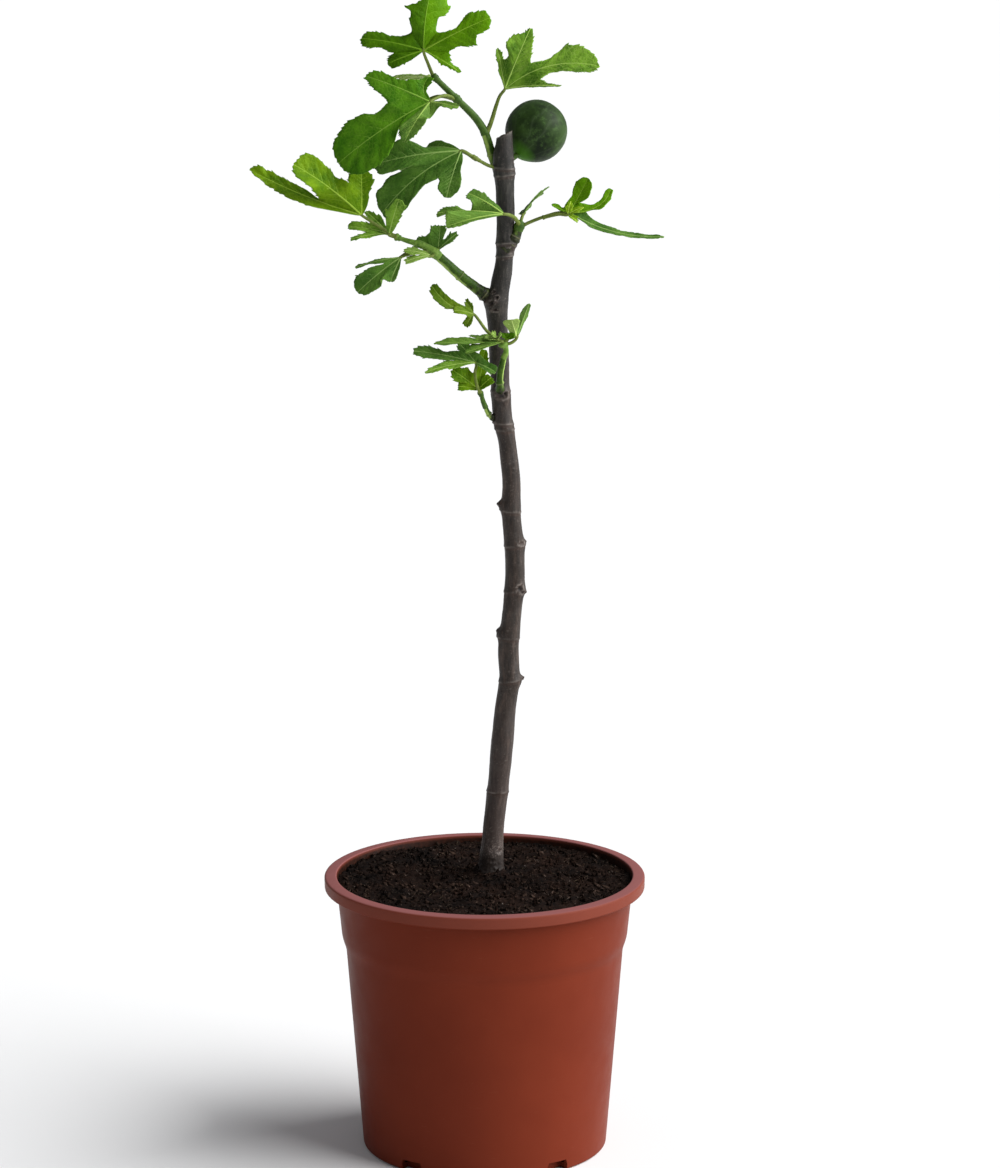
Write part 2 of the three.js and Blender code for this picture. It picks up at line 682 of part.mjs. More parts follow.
const figTree = new THREE.Group();
figTree.add(makePot(), makeCompost(), toMesh('trunk', stemSolid(), barkFinish));
for (const shoot of SHOOTS) figTree.add(makeShoot(shoot));
figTree.add(
  makeFoliage('foliage_top', FOLIAGE_TOP),
  makeFoliage('foliage_upper_left', FOLIAGE_UPPER_LEFT),
  makeFoliage('foliage_left', FOLIAGE_LEFT),
  makeFoliage('foliage_right', FOLIAGE_RIGHT),
  makeFoliage('foliage_front', FOLIAGE_FRONT),
  makeFoliage('foliage_low', FOLIAGE_LOW),
  makeFig(),
);

export default figTree;
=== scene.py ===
import math
import random

import bpy
from mathutils import Matrix, Vector, noise


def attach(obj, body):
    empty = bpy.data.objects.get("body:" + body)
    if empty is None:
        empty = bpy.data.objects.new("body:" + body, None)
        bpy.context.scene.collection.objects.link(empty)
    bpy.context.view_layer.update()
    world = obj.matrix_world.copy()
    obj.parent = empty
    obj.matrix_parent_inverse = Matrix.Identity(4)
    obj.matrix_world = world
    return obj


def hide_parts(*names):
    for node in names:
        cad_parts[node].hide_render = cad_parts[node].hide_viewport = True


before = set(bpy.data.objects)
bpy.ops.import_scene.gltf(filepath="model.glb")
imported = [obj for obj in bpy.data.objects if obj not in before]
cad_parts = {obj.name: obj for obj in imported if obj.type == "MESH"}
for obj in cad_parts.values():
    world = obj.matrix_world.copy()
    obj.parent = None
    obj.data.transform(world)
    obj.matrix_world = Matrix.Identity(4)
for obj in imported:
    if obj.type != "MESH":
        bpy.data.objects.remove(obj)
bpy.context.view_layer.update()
scene = bpy.context.scene


# ---------------------------------------------------------------- studio
# A pale floor that runs to the horizon under an even pale sky. One broad soft lamp stands to
# the right of the plant, and lights it from there and a little from in front.

FLOOR_HALF = 40.0
FLOOR_DROP = 0.0004
FLOOR_COLOUR = (0.79, 0.79, 0.79, 1)
FLOOR_ROUGHNESS = 0.9
FLOOR_GLOSS = 0.1
SKY_COLOUR = (0.94, 0.96, 1.0, 1)
SKY_STRENGTH = 0.26
LAMP_TOWARDS = Vector((0.95, -0.14, 0.62))
LAMP_STRENGTH = 6.2
LAMP_BREADTH = math.radians(68)
CAMERA_PLACE = (0.01104, -2.7447, 0.9652)
CAMERA_DIP = math.radians(11.4008)
CAMERA_LENS = 122.01
CAMERA_SENSOR = 36.0


def new_object(name, data):
    """Puts an object of this data in the scene."""
    made = bpy.data.objects.new(name, data)
    scene.collection.objects.link(made)
    return made


def new_finish(name, roughness, gloss):
    """A plain finish, and its shader."""
    finish = bpy.data.materials.new(name)
    finish.use_nodes = True
    shader = finish.node_tree.nodes["Principled BSDF"]
    shader.inputs["Roughness"].default_value = roughness
    shader.inputs["Specular IOR Level"].default_value = gloss
    return finish, shader


corners = [(x * FLOOR_HALF, y * FLOOR_HALF, -FLOOR_DROP) for x, y in ((-1, -1), (1, -1), (1, 1), (-1, 1))]
floor_mesh = bpy.data.meshes.new("studio_floor")
floor_mesh.from_pydata(corners, [], [(0, 1, 2, 3)])
floor_paint, floor_shader = new_finish("studio_floor_paint", FLOOR_ROUGHNESS, FLOOR_GLOSS)
floor_shader.inputs["Base Color"].default_value = FLOOR_COLOUR
floor_mesh.materials.append(floor_paint)
floor = new_object("studio_floor", floor_mesh)

scene.world = bpy.data.worlds.new("studio_sky")
scene.world.use_nodes = True
sky = scene.world.node_tree.nodes["Background"]
sky.inputs["Color"].default_value = SKY_COLOUR
sky.inputs["Strength"].default_value = SKY_STRENGTH

lamp = new_object("key_lamp", bpy.data.lights.new("key_lamp", "SUN"))
lamp.data.energy = LAMP_STRENGTH
lamp.data.angle = LAMP_BREADTH
lamp.rotation_mode = "QUATERNION"
lamp.rotation_quaternion = LAMP_TOWARDS.to_track_quat("Z", "Y")

camera = new_object("camera", bpy.data.cameras.new("camera"))
camera.location = CAMERA_PLACE
camera.rotation_euler = (math.pi / 2 - CAMERA_DIP, 0, 0)
camera.data.lens = CAMERA_LENS
camera.data.sensor_width = CAMERA_SENSOR
scene.camera = camera
scene.view_settings.view_transform = "Standard"


# ---------------------------------------------------------------- pot
# A round nursery pot moulded in one piece from brick-red polypropylene: a broad flat-topped rim,
# a neck and a shoulder step for stacking, a tapering wall, and five drain notches in its foot.

MM = 0.001
POT_HEIGHT = 200.0
POT_FLOOR = 4.0
RIM_RADIUS = 115.0
RIM_MOUTH_RADIUS = 106.4
NECK_TOP_RADIUS = 106.0
NECK_FOOT_RADIUS = 102.4
SHOULDER_HEIGHT = 151.0
SHOULDER_HALF = 4.0
RIM_FOOT_HEIGHT = 191.0
WALL_TOP_RADIUS = 99.6
FOOT_RADIUS = 88.0
POT_WALL = 2.6
POT_SEGMENTS = 180
POT_SHARP_ANGLE = math.radians(35)
NOTCHES = 5
NOTCH_WIDTH = 18.0
NOTCH_HEIGHT = 8.0
NOTCH_DEPTH = 9.0
# The outline of a notch as (share of its width, share of its height). Its upper corners are cut off.
NOTCH_SECTION = [(-0.5, -0.5), (0.5, -0.5), (0.5, 0.55), (0.42, 1), (-0.42, 1), (-0.5, 0.55)]
# Corners of the wall's section as (radius, height, rounding), up the outside and down inside.
POT_CORNERS = [
    (0, 0, 0),
    (FOOT_RADIUS, 0, 1.8),
    (WALL_TOP_RADIUS, SHOULDER_HEIGHT - SHOULDER_HALF, 3.4),
    (NECK_FOOT_RADIUS, SHOULDER_HEIGHT + SHOULDER_HALF, 3.4),
    (NECK_TOP_RADIUS, RIM_FOOT_HEIGHT - 0.6, 1),
    (RIM_RADIUS - 0.2, RIM_FOOT_HEIGHT, 0.9),
    (RIM_RADIUS, POT_HEIGHT - 0.5, 1.7),
    (RIM_MOUTH_RADIUS, POT_HEIGHT, 0.9),
    (NECK_TOP_RADIUS - POT_WALL, POT_HEIGHT - 14, 5),
    (NECK_FOOT_RADIUS - POT_WALL, SHOULDER_HEIGHT + SHOULDER_HALF, 2),
    (WALL_TOP_RADIUS - POT_WALL, SHOULDER_HEIGHT - SHOULDER_HALF, 2),
    (FOOT_RADIUS - POT_WALL, POT_FLOOR, 3),
    (0, POT_FLOOR, 0),
]


def rounded(corners, steps=7):
    """A section's outline with each corner drawn as a short curve."""
    outline = []
    for k, (x, y, rounding) in enumerate(corners):
        here = Vector((x, y))
        if rounding == 0:
            outline.append(here)
            continue
        ways = [(Vector(corners[beside][:2]) - here).normalized() for beside in (k - 1, k + 1)]
        start, end = (here + way * rounding for way in ways)
        for step in range(steps + 1):
            t = step / steps
            outline.append(start * (1 - t) ** 2 + here * 2 * t * (1 - t) + end * t**2)
    return outline


def closed_faces(rings, sides):
    """Faces of a closed round body whose points are a first point, rings of points and a last point."""
    last = 1 + (rings - 1) * sides
    faces = []
    for side in range(sides):
        after = (side + 1) % sides
        faces.append((0, 1 + after, 1 + side))
        for low in range(1, last, sides):
            faces.append((low + side, low + after, low + sides + after, low + sides + side))
        faces.append((last + side, last + after, last + sides))
    return faces


def turned(outline, segments):
    """Points and faces of a closed round body, from an outline that starts and ends on its axis."""
    points = [Vector((0, 0, outline[0].y))]
    for ring in outline[1:-1]:
        for k in range(segments):
            angle = 2 * math.pi * k / segments
            points.append(Vector((ring.x * math.cos(angle), ring.x * math.sin(angle), ring.y)))
    points.append(Vector((0, 0, outline[-1].y)))
    return points, closed_faces(len(outline) - 2, segments)


def make_piece(name, points, faces, finishes, choices=None, **marks):
    """A piece from points in mm. Choices picks each face's finish; marks are numbers for its points."""
    mesh = bpy.data.meshes.new(name)
    mesh.from_pydata([point * MM for point in points], [], faces)
    for finish in finishes:
        mesh.materials.append(finish)
    if choices:
        mesh.polygons.foreach_set("material_index", choices)
    for mark, values in marks.items():
        mesh.attributes.new(mark, "FLOAT", "POINT").data.foreach_set("value", values)
    mesh.shade_smooth()
    return new_object(name, mesh)


def settle(piece, node):
    """The piece rides on the plant's one body, in place of a plain solid."""
    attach(piece, "root")
    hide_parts(node)


def bake(piece):
    """Turns the piece and its live modifiers into a plain mesh."""
    shaped = bpy.data.meshes.new_from_object(piece.evaluated_get(bpy.context.evaluated_depsgraph_get()))
    piece.modifiers.clear()
    piece.data = shaped


def add_node(tree, kind, settings=None, out=0, **inputs):
    """Adds a node and gives one output, or all for None. An input given as a socket is linked to it."""
    node = tree.nodes.new(kind)
    for key, value in (settings or {}).items():
        setattr(node, key, value)
    for key, value in inputs.items():
        numbered = key[0] == "i" and key[1:].isdigit()
        socket = node.inputs[int(key[1:]) if numbered else key.replace("_", " ")]
        if isinstance(value, bpy.types.NodeSocket):
            tree.links.new(value, socket)
        else:
            socket.default_value = value
    return node.outputs if out is None else node.outputs[out]


def vector_math(tree, operation, *values, out=0):
    inputs = {f"i{k}": value for k, value in enumerate(values)}
    return add_node(tree, "ShaderNodeVectorMath", {"operation": operation}, out, **inputs)


def height_and_reach(tree, place):
    """A place's height, and how far it lies from the pot's axis."""
    parts = add_node(tree, "ShaderNodeSeparateXYZ", out=None, Vector=place)
    flat = add_node(tree, "ShaderNodeCombineXYZ", X=parts[0], Y=parts[1])
    return parts[2], vector_math(tree, "LENGTH", flat, out=1)


class Coat:
    """A finish that is built up in layers: its material, its nodes, and its colour so far."""

    def __init__(self, name, roughness, gloss):
        self.finish, self.shader = new_finish(name, roughness, gloss)
        self.tree = self.finish.node_tree
        self.place = self.stretched(1, 1, 1)
        self.relief = {}

    def stretched(self, *stretch):
        """Where on the object a point lies, in metres, stretched along each axis."""
        place = add_node(self.tree, "ShaderNodeTexCoord", out="Object")
        return add_node(self.tree, "ShaderNodeMapping", Vector=place, Scale=stretch)

    def speckle(self, scale, detail, roughness=0.6, place=None):
        inputs = dict(Vector=place or self.place, Scale=scale, Detail=detail, Roughness=roughness)
        return add_node(self.tree, "ShaderNodeTexNoise", **inputs)

    def mark(self, name):
        """The numbers kept on the piece's points under this name."""
        return add_node(self.tree, "ShaderNodeAttribute", {"attribute_name": name}, "Fac")

    def ramp(self, factor, *stops):
        """A colour ramp from stops of (place, colour)."""
        colour = add_node(self.tree, "ShaderNodeValToRGB", Fac=factor)
        elements = colour.node.color_ramp.elements
        while len(elements) < len(stops):
            elements.new(0.5)
        for element, (place, tone) in zip(elements, stops):
            element.position = place
            element.color = (*tone, 1)
        return colour

    def band(self, factor, low, high, rise="SMOOTHSTEP"):
        """Rises from 0 to 1 as the factor goes from low to high."""
        inputs = dict(Value=factor, From_Min=low, From_Max=high)
        return add_node(self.tree, "ShaderNodeMapRange", {"interpolation_type": rise}, **inputs)

    def times(self, value, other):
        return add_node(self.tree, "ShaderNodeMath", {"operation": "MULTIPLY"}, i0=value, i1=other)

    def mixed(self, factor, under, over):
        """Goes from one colour to another, each a socket or red, green and blue, with the factor."""
        under, over = (c if isinstance(c, bpy.types.NodeSocket) else (*c, 1) for c in (under, over))
        return add_node(self.tree, "ShaderNodeMix", {"data_type": "RGBA"}, 2, i0=factor, i6=under, i7=over)

    def cover(self, factor, colour, share=None):
        """Lays a colour over the coat, as far as the factor and the share go."""
        if share is not None:
            factor = self.times(factor, share)
        self.colour = self.mixed(factor, self.colour, colour)

    def roughen(self, grain, low, high):
        rough = self.ramp(grain, (0.3, (low,) * 3), (0.7, (high,) * 3))
        self.tree.links.new(rough, self.shader.inputs["Roughness"])

    def emboss(self, height, depth, strength):
        """Raises the surface by a height from 0 to 1 times a depth in metres."""
        normal = add_node(
            self.tree, "ShaderNodeBump", Height=height, Distance=depth, Strength=strength, **self.relief
        )
        self.tree.links.new(normal, self.shader.inputs["Normal"])
        self.relief = {"Normal": normal}

    def done(self):
        self.tree.links.new(self.colour, self.shader.inputs["Base Color"])
        return self.finish


def pot_plastic_finish():
    """Brick-red plastic, dull and faintly scuffed, with a painted highlight on its rim and painted shade,
    with peat stains, inside its mouth.
    """
    coat = Coat("brick_red_plastic", 0.42, 0.045)
    reds = ((0.3, (0.128, 0.02, 0.0085)), (0.7, (0.148, 0.024, 0.0102)))
    coat.colour = coat.ramp(coat.speckle(14, 3), *reds)
    scuffs = coat.band(coat.speckle(90, 6, 0.7, coat.stretched(1, 1, 7)), 0.62, 0.74)
    coat.cover(scuffs, (0.3, 0.12, 0.08), 0.1)
    height, away = height_and_reach(coat.tree, coat.place)
    within = coat.band(away, (RIM_MOUTH_RADIUS + 0.1) * MM, (RIM_MOUTH_RADIUS - 0.7) * MM)
    # Painted highlight: the rim above its foot is made paler and pinker, and its flat top paler still, as a
    # painted reflection of the sky.
    rim = coat.band(height, (RIM_FOOT_HEIGHT + 0.3) * MM, (RIM_FOOT_HEIGHT + 1) * MM)
    coat.cover(rim, (0.3, 0.12, 0.095), 0.16)
    rim_top_reflection = coat.band(height, (POT_HEIGHT - 1.1) * MM, (POT_HEIGHT - 0.3) * MM)
    coat.cover(rim_top_reflection, (0.42, 0.21, 0.24), 0.24)
    # Painted shade with peat stains: the inner wall inside the mouth, above the rim's foot, is darkened to
    # peat tones.
    shade_and_stain_tones = ((0.3, (0.006, 0.003, 0.002)), (0.72, (0.035, 0.011, 0.006)))
    coat.cover(within, coat.ramp(coat.speckle(240, 5, 0.7), *shade_and_stain_tones), rim)
    coat.roughen(coat.speckle(60, 5), 0.38, 0.5)
    coat.emboss(coat.speckle(2600, 2), 0.00004, 0.5)
    coat.emboss(coat.speckle(35, 2), 0.0006, 0.35)
    return coat.done()


points, faces = turned(rounded(POT_CORNERS), POT_SEGMENTS)
pot = make_piece("moulded_pot", points, faces, [pot_plastic_finish()])

notch_points = []
notch_faces = []
sides = len(NOTCH_SECTION)
for k in range(NOTCHES):
    turn = Matrix.Rotation(-math.pi / 2 + (k + 0.5) * 2 * math.pi / NOTCHES, 3, "Z")
    first = len(notch_points)
    for out in (FOOT_RADIUS - NOTCH_DEPTH + 1, FOOT_RADIUS + NOTCH_DEPTH):
        for across, up in NOTCH_SECTION:
            notch_points.append(turn @ Vector((out, across * NOTCH_WIDTH, up * NOTCH_HEIGHT)))
    notch_faces.append(tuple(first + s for s in reversed(range(sides))))
    notch_faces.append(tuple(first + sides + s for s in range(sides)))
    for s in range(sides):
        t = (s + 1) % sides
        notch_faces.append((first + s, first + t, first + sides + t, first + sides + s))
cutter = make_piece("notch_cutter", notch_points, notch_faces, [])
cut = pot.modifiers.new("drain_notches", "BOOLEAN")
cut.operation = "DIFFERENCE"
cut.solver = "EXACT"
cut.object = cutter
bake(pot)
bpy.data.objects.remove(cutter)
pot.data.set_sharp_from_angle(angle=POT_SHARP_ANGLE)
settle(pot, "pot")


# ---------------------------------------------------------------- compost
# Dark moist peat compost fills the pot to just under its mouth. It is a lumpy bed with loose
# crumbs, short fibres and a few pale bits of bark and grit lying on it.

COMPOST_EDGE_HEIGHT = 194.8
STEM_FOOT = Vector((4, 18, 196))
BED_RADIUS = 105.0
BED_RINGS = 84
BED_SEGMENTS = 260
# Outline of the bed below its top as (radius, height).
BED_SIDE = [
    (0, POT_FLOOR + 0.3),
    (FOOT_RADIUS - 10, POT_FLOOR + 0.3),
    (FOOT_RADIUS - 5, POT_FLOOR + 9),
    (WALL_TOP_RADIUS - 3.3, SHOULDER_HEIGHT - SHOULDER_HALF),
    (BED_RADIUS - 2.3, 185),
]


def bed_height(x, y):
    """Height of the compost at a place: a low heap, a collar round the stem, clods and crumbs."""
    away = math.hypot(x - STEM_FOOT.x, y - STEM_FOOT.y)
    heap = (STEM_FOOT.z - COMPOST_EDGE_HEIGHT) * max(0.0, 1 - away / BED_RADIUS) ** 2
    spot = Vector((x, y, 0))
    clods = 1.5 * noise.noise(spot / 17) + 1.5 * noise.noise(spot / 6 + Vector((5, 0, 0)))
    crumbs = 1.5 * noise.noise(spot / 3) + 0.7 * noise.noise(spot / 1.4)
    collar = 2.4 * math.exp(-(((away - 8.5) / 4.5) ** 2))
    dip = -1.2 * max(0.0, noise.noise(spot / 26 + Vector((0, 9, 0)))) ** 1.2
    return COMPOST_EDGE_HEIGHT + heap + clods + crumbs + collar + dip


def compost_finish(name, dark, mid, pale, roughness=0.95):
    """Peat colours: dark all over, with patches of a middle tone and the odd pale speck."""
    coat = Coat(name, roughness, 0.08)
    fine = coat.speckle(260, 6, 0.75)
    both = add_node(coat.tree, "ShaderNodeMath", {"operation": "ADD"}, i0=fine, i1=coat.speckle(34, 4))
    coat.colour = coat.ramp(coat.times(both, 0.5), (0.42, dark), (0.6, mid))
    coat.cover(coat.band(coat.speckle(900, 3, 0.7), 0.62, 0.72), pale)
    coat.emboss(coat.speckle(1400, 5, 0.7), 0.0009, 0.8)
    return coat.done()


bed_outline = [Vector(corner) for corner in BED_SIDE]
for ring in range(BED_RINGS + 1):
    bed_outline.append(Vector((BED_RADIUS * (1 - ring / BED_RINGS), COMPOST_EDGE_HEIGHT)))
points, faces = turned(bed_outline, BED_SEGMENTS)
for point in points:
    if point.z > COMPOST_EDGE_HEIGHT - 1:
        point.z = bed_height(point.x, point.y)
peat = compost_finish("moist_peat", (0.0021, 0.001, 0.0007), (0.0138, 0.0064, 0.004), (0.085, 0.056, 0.042))
bed = make_piece("compost_bed", points, faces, [peat])
settle(bed, "compost")


def scatter_tree(name, shape):
    """Strews small shapes over the top of the bed. Shape builds one of them in the tree."""
    tree = bpy.data.node_groups.new(name, "GeometryNodeTree")
    for label, kind in (
        ("Bed", "Geometry"), ("Per Square Metre", "Float"), ("Smallest", "Vector"), ("Largest", "Vector"),
        ("Lowest", "Float"), ("Reach", "Float"), ("Tilt", "Float"), ("Seed", "Int"), ("Finish", "Material"),
    ):
        tree.interface.new_socket(label, in_out="INPUT", socket_type="NodeSocket" + kind)
    tree.interface.new_socket("Strewn", in_out="OUTPUT", socket_type="NodeSocketGeometry")
    given = add_node(tree, "NodeGroupInput", out=None)
    seed = given["Seed"]
    height, away = height_and_reach(tree, add_node(tree, "GeometryNodeInputPosition"))
    inside = add_node(tree, "FunctionNodeCompare", {"operation": "LESS_THAN"}, i0=away, i1=given["Reach"])
    settings = {"operation": "GREATER_THAN"}
    high = add_node(tree, "FunctionNodeCompare", settings, i0=height, i1=given["Lowest"])
    both = add_node(tree, "FunctionNodeBooleanMath", i0=inside, i1=high)
    spread = add_node(
        tree, "GeometryNodeDistributePointsOnFaces",
        Mesh=given["Bed"], Selection=both, Density=given["Per Square Metre"], Seed=seed,
    )
    size, spin = (
        add_node(tree, "FunctionNodeRandomValue", {"data_type": "FLOAT_VECTOR"}, Seed=seed, i0=least, i1=most)
        for least, most in ((given["Smallest"], given["Largest"]), ((0, 0, 0), (1, 1, 2 * math.pi)))
    )
    tilt = add_node(tree, "ShaderNodeCombineXYZ", X=given["Tilt"], Y=given["Tilt"], Z=1.0)
    laid = add_node(
        tree, "GeometryNodeInstanceOnPoints",
        Points=spread, Instance=shape(tree), Rotation=vector_math(tree, "MULTIPLY", spin, tilt), Scale=size,
    )
    real = add_node(tree, "GeometryNodeRealizeInstances", Geometry=laid)
    smooth = add_node(tree, "GeometryNodeSetShadeSmooth", Geometry=real)
    coated = add_node(tree, "GeometryNodeSetMaterial", Geometry=smooth, Material=given["Finish"])
    add_node(tree, "NodeGroupOutput", out=None, Strewn=coated)
    return tree


def crumb_shape(tree):
    """A knobbly crumb about one unit across."""
    ball = add_node(tree, "GeometryNodeMeshIcoSphere", Radius=0.5, Subdivisions=2)
    place = add_node(tree, "GeometryNodeInputPosition")
    rough = add_node(tree, "ShaderNodeTexNoise", out="Color", Vector=place, Scale=2.3, Detail=1.0)
    middle = vector_math(tree, "SUBTRACT", rough, (0.5, 0.5, 0.5))
    push = add_node(tree, "ShaderNodeVectorMath", {"operation": "SCALE"}, i0=middle, Scale=1.1)
    return add_node(tree, "GeometryNodeSetPosition", Geometry=ball, Offset=push)


def fibre_shape(tree):
    """A short bent fibre one unit long."""
    bow = add_node(
        tree, "GeometryNodeCurveQuadraticBezier",
        Resolution=5, Start=(-0.5, 0, 0), Middle=(0, 0.18, 0.12), End=(0.5, 0, 0.03),
    )
    section = add_node(tree, "GeometryNodeCurvePrimitiveCircle", Resolution=4, Radius=0.035)
    return add_node(tree, "GeometryNodeCurveToMesh", Curve=bow, Profile_Curve=section, Fill_Caps=True)


crumbs = scatter_tree("loose_crumbs", crumb_shape)
fibres = scatter_tree("loose_fibres", fibre_shape)
DARK_CRUMB = ("dark_peat_crumb", (0.0021, 0.001, 0.0007), (0.0182, 0.0086, 0.0055), (0.096, 0.065, 0.05))
BROWN_CLOD = ("brown_peat_clod", (0.0058, 0.0028, 0.0018), (0.044, 0.0262, 0.0188), (0.2, 0.155, 0.135))
BARK_CRUMB = ("bark_crumb", (0.02, 0.0135, 0.011), (0.094, 0.072, 0.061), (0.32, 0.28, 0.26))
STRAW = ("straw_fibre", (0.022, 0.015, 0.01), (0.11, 0.08, 0.05), (0.26, 0.22, 0.16), 0.7)
BED_TOP = dict(lowest=0.19, reach=0.1035)
# What lies on the bed as (piece, shapes, number per square metre, smallest size, largest size, tilt,
# finish, seed), with sizes in metres.
STREWN = [
    ("peat_crumbs", crumbs, 36000, (0.0008, 0.0008, 0.0007), (0.0054, 0.004, 0.003), 3, DARK_CRUMB, 7),
    ("peat_clods", crumbs, 14000, (0.0012, 0.0008, 0.0006), (0.0084, 0.0034, 0.0024), 0.7, BROWN_CLOD, 8),
    ("bark_crumbs", crumbs, 6000, (0.0006, 0.0005, 0.0004), (0.0042, 0.0014, 0.001), 0.7, BARK_CRUMB, 9),
    ("peat_fibres", fibres, 6000, (0.003, 0.003, 0.003), (0.0095, 0.006, 0.005), 0.5, STRAW, 7),
]
for name, tree, number, smallest, largest, tilt, colours, seed in STREWN:
    values = dict(
        per_square_metre=float(number), smallest=smallest, largest=largest, tilt=float(tilt),
        finish=compost_finish(*colours), seed=seed, **BED_TOP,
    )
    piece = new_object(name, bed.data.copy())
    modifier = piece.modifiers.new(name, "NODES")
    modifier.node_group = tree
    for item in tree.interface.items_tree:
        label = item.name.replace(" ", "_").lower()
        if label in values:
            modifier[item.identifier] = values[label]
    bake(piece)
    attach(piece, "root")


# ---------------------------------------------------------------- stem
# One crooked woody stem, as thick as a thumb, with smooth grey-brown bark. It has a ring and a
# swollen joint wherever a leaf once grew, healed scars, pale pores, and a ragged slanting cut top.

# The stem's middle line as (height, right, back, thickness).
STEM_LINE = [
    (196, 4, 18, 16.5), (229, 6.4, 17, 15), (265, 10.2, 17, 15.4), (294, 12.8, 16, 16), (318, 15, 16, 15),
    (340, 17.8, 15, 14.6), (360, 17, 15, 14.8), (383, 18.9, 14, 14), (412, 21.6, 14, 14), (436, 21.2, 14, 14),
    (458, 19, 13, 13.6), (484, 19, 13, 12.6), (510, 16.2, 12, 12.6), (524, 13.6, 12, 13.6),
    (550, 11.4, 11, 13.2), (590, 9.6, 11, 13.8), (608, 8.8, 10, 15.4), (624, 11.6, 10, 13.8),
    (642, 14.2, 10, 12.2), (688, 14.6, 9, 13), (708, 13.3, 8, 14.6), (728, 13.8, 8, 11.2),
]
# Swollen joints as (height, bearing in degrees, swelling): bearing 0 is right and 90 is back.
STEM_JOINTS = [
    (210, 250, 0.8), (256, 60, 0.7), (338, 0, 1.5), (373, 180, 2.2), (405, 330, 1.2), (438, 20, 1),
    (465, 180, 1.8), (523, 90, 0.9), (546, 270, 1.6), (612, 185, 2.2), (652, 345, 2.6), (702, 10, 0.9),
    (717, 200, 0.5),
]
# Rings left by fallen leaves as (height, tilt in degrees, which side is high).
STEM_RINGS = [
    (256.5, 3, 200), (339, 6, 20), (370, 5, 180), (404, 5, 330), (437, 4, 10), (462, 6, 185), (521, 5, 90),
    (525, 4, 200), (548, 6, 270), (643.5, 5, 340), (652.5, 4, 330), (700, 6, 10), (705, 5, 180),
]
# Healed scars as (height, bearing, half height, half width, depth): a hollow with a raised lip.
STEM_SCARS = [
    (545.5, 278, 2.7, 4.2, 1.6), (547, 297, 1.9, 1.7, 2.2), (406.5, 300, 3.0, 2.8, 1.7),
    (404, 318, 1.6, 1.8, 1.6), (439, 320, 1.8, 3.0, 0.8), (340.5, 346, 0.9, 1.0, 2.0),
    (577, 330, 4.0, 2.6, 0.7), (648, 330, 2.4, 5.0, 0.5), (611, 240, 2.0, 2.2, 1.9),
    (615, 262, 1.5, 1.6, 1.6), (606, 262, 1.1, 2.4, 1.3), (619, 236, 1.4, 1.2, 1.2),
    (709.5, 345, 1.6, 1.3, 1.0), (213, 318, 2.2, 3.2, 0.7), (207, 268, 1.6, 2.6, 0.5),
]
# Old bud stubs that stand out as (height, bearing, reach, half width).
STEM_STUBS = [
    (467.5, 183, 2.4, 2.2), (375.5, 178, 1.5, 1.6), (341, 350, 2.5, 1.9), (403.4, 345, 1.2, 1.2),
    (440, 5, 1.0, 1.6), (526, 190, 0.9, 1.6), (711.5, 335, 1.1, 1.1), (612, 214, 1.8, 2.0),
    (606, 238, 1.1, 1.6), (612, 262, 0.9, 1.7),
]
JOINT_HEIGHT = 4.5
FLARE = 1.5
FLARE_HEIGHT = 9.0
CUT_SLOPE = 0.5
CUT_REACH = 14.0
CUT_SINK = 1.4
CUT_SHARES = (0.9, 0.78, 0.6, 0.4, 0.2)
FLAKY_HEIGHT = 24.0
FLAKY_BEARING = math.radians(330)
PORES = 420
LOW_PORES = 0.35
PORE_SEED = 4
PORE_BIN = 3
STEM_SIDES = 72
STEM_STEPS = 640
CURVE_STEPS = 24


def smooth_line(controls, steps, before=None, after=None):
    """Evenly spaced points along the smooth line through its controls."""
    knots = [Vector(c) for c in controls]
    knots.insert(0, Vector(before) if before else 2 * knots[0] - knots[1])
    knots.append(Vector(after) if after else 2 * knots[-1] - knots[-2])
    dense = []
    for k in range(1, len(knots) - 2):
        a, b, c, d = knots[k - 1 : k + 3]
        ab, bc, cd = (max(1e-6, (q - p).length ** 0.5) for p, q in ((a, b), (b, c), (c, d)))
        leave = ((b - a) / ab - (c - a) / (ab + bc) + (c - b) / bc) * bc
        arrive = ((c - b) / bc - (d - b) / (bc + cd) + (d - c) / cd) * bc
        for step in range(CURVE_STEPS):
            t = step / CURVE_STEPS
            dense.append(
                b * (2 * t**3 - 3 * t**2 + 1) + leave * (t**3 - 2 * t**2 + t)
                + c * (3 * t**2 - 2 * t**3) + arrive * (t**3 - t**2)
            )
    dense.append(knots[-2])
    travelled = [0.0]
    for p, q in zip(dense, dense[1:]):
        travelled.append(travelled[-1] + (q - p).length)
    line = []
    k = 0
    for step in range(steps + 1):
        target = travelled[-1] * step / steps
        while k < len(dense) - 2 and travelled[k + 1] < target:
            k += 1
        gap = max(1e-9, travelled[k + 1] - travelled[k])
        line.append(dense[k].lerp(dense[k + 1], min(1.0, (target - travelled[k]) / gap)))
    return line


def angle_between(a, b):
    return (a - b + math.pi) % (2 * math.pi) - math.pi


def bell(x):
    return math.exp(-x * x)


def clamped(x):
    return min(1.0, max(0.0, x))


def stem_thickness(height):
    for (low, _, _, low_size), (high, _, _, high_size) in zip(STEM_LINE, STEM_LINE[1:]):
        if height <= high:
            between = max(0.0, (height - low) / (high - low))
            between = between * between * (3 - 2 * between)
            return low_size + (high_size - low_size) * between
    return STEM_LINE[-1][3]


# Pores by height as (height, bearing, size). About a third of them lie near the foot.
pore_source = random.Random(PORE_SEED)
pores_at = {}
for _ in range(PORES):
    low = pore_source.random() < LOW_PORES
    height = pore_source.uniform(197, 235) if low else pore_source.uniform(200, 722)
    pore = (height, pore_source.uniform(0, 2 * math.pi), pore_source.uniform(0.2, 0.48))
    for step in (-1, 0, 1):
        pores_at.setdefault(int(height // PORE_BIN) + step, []).append(pore)


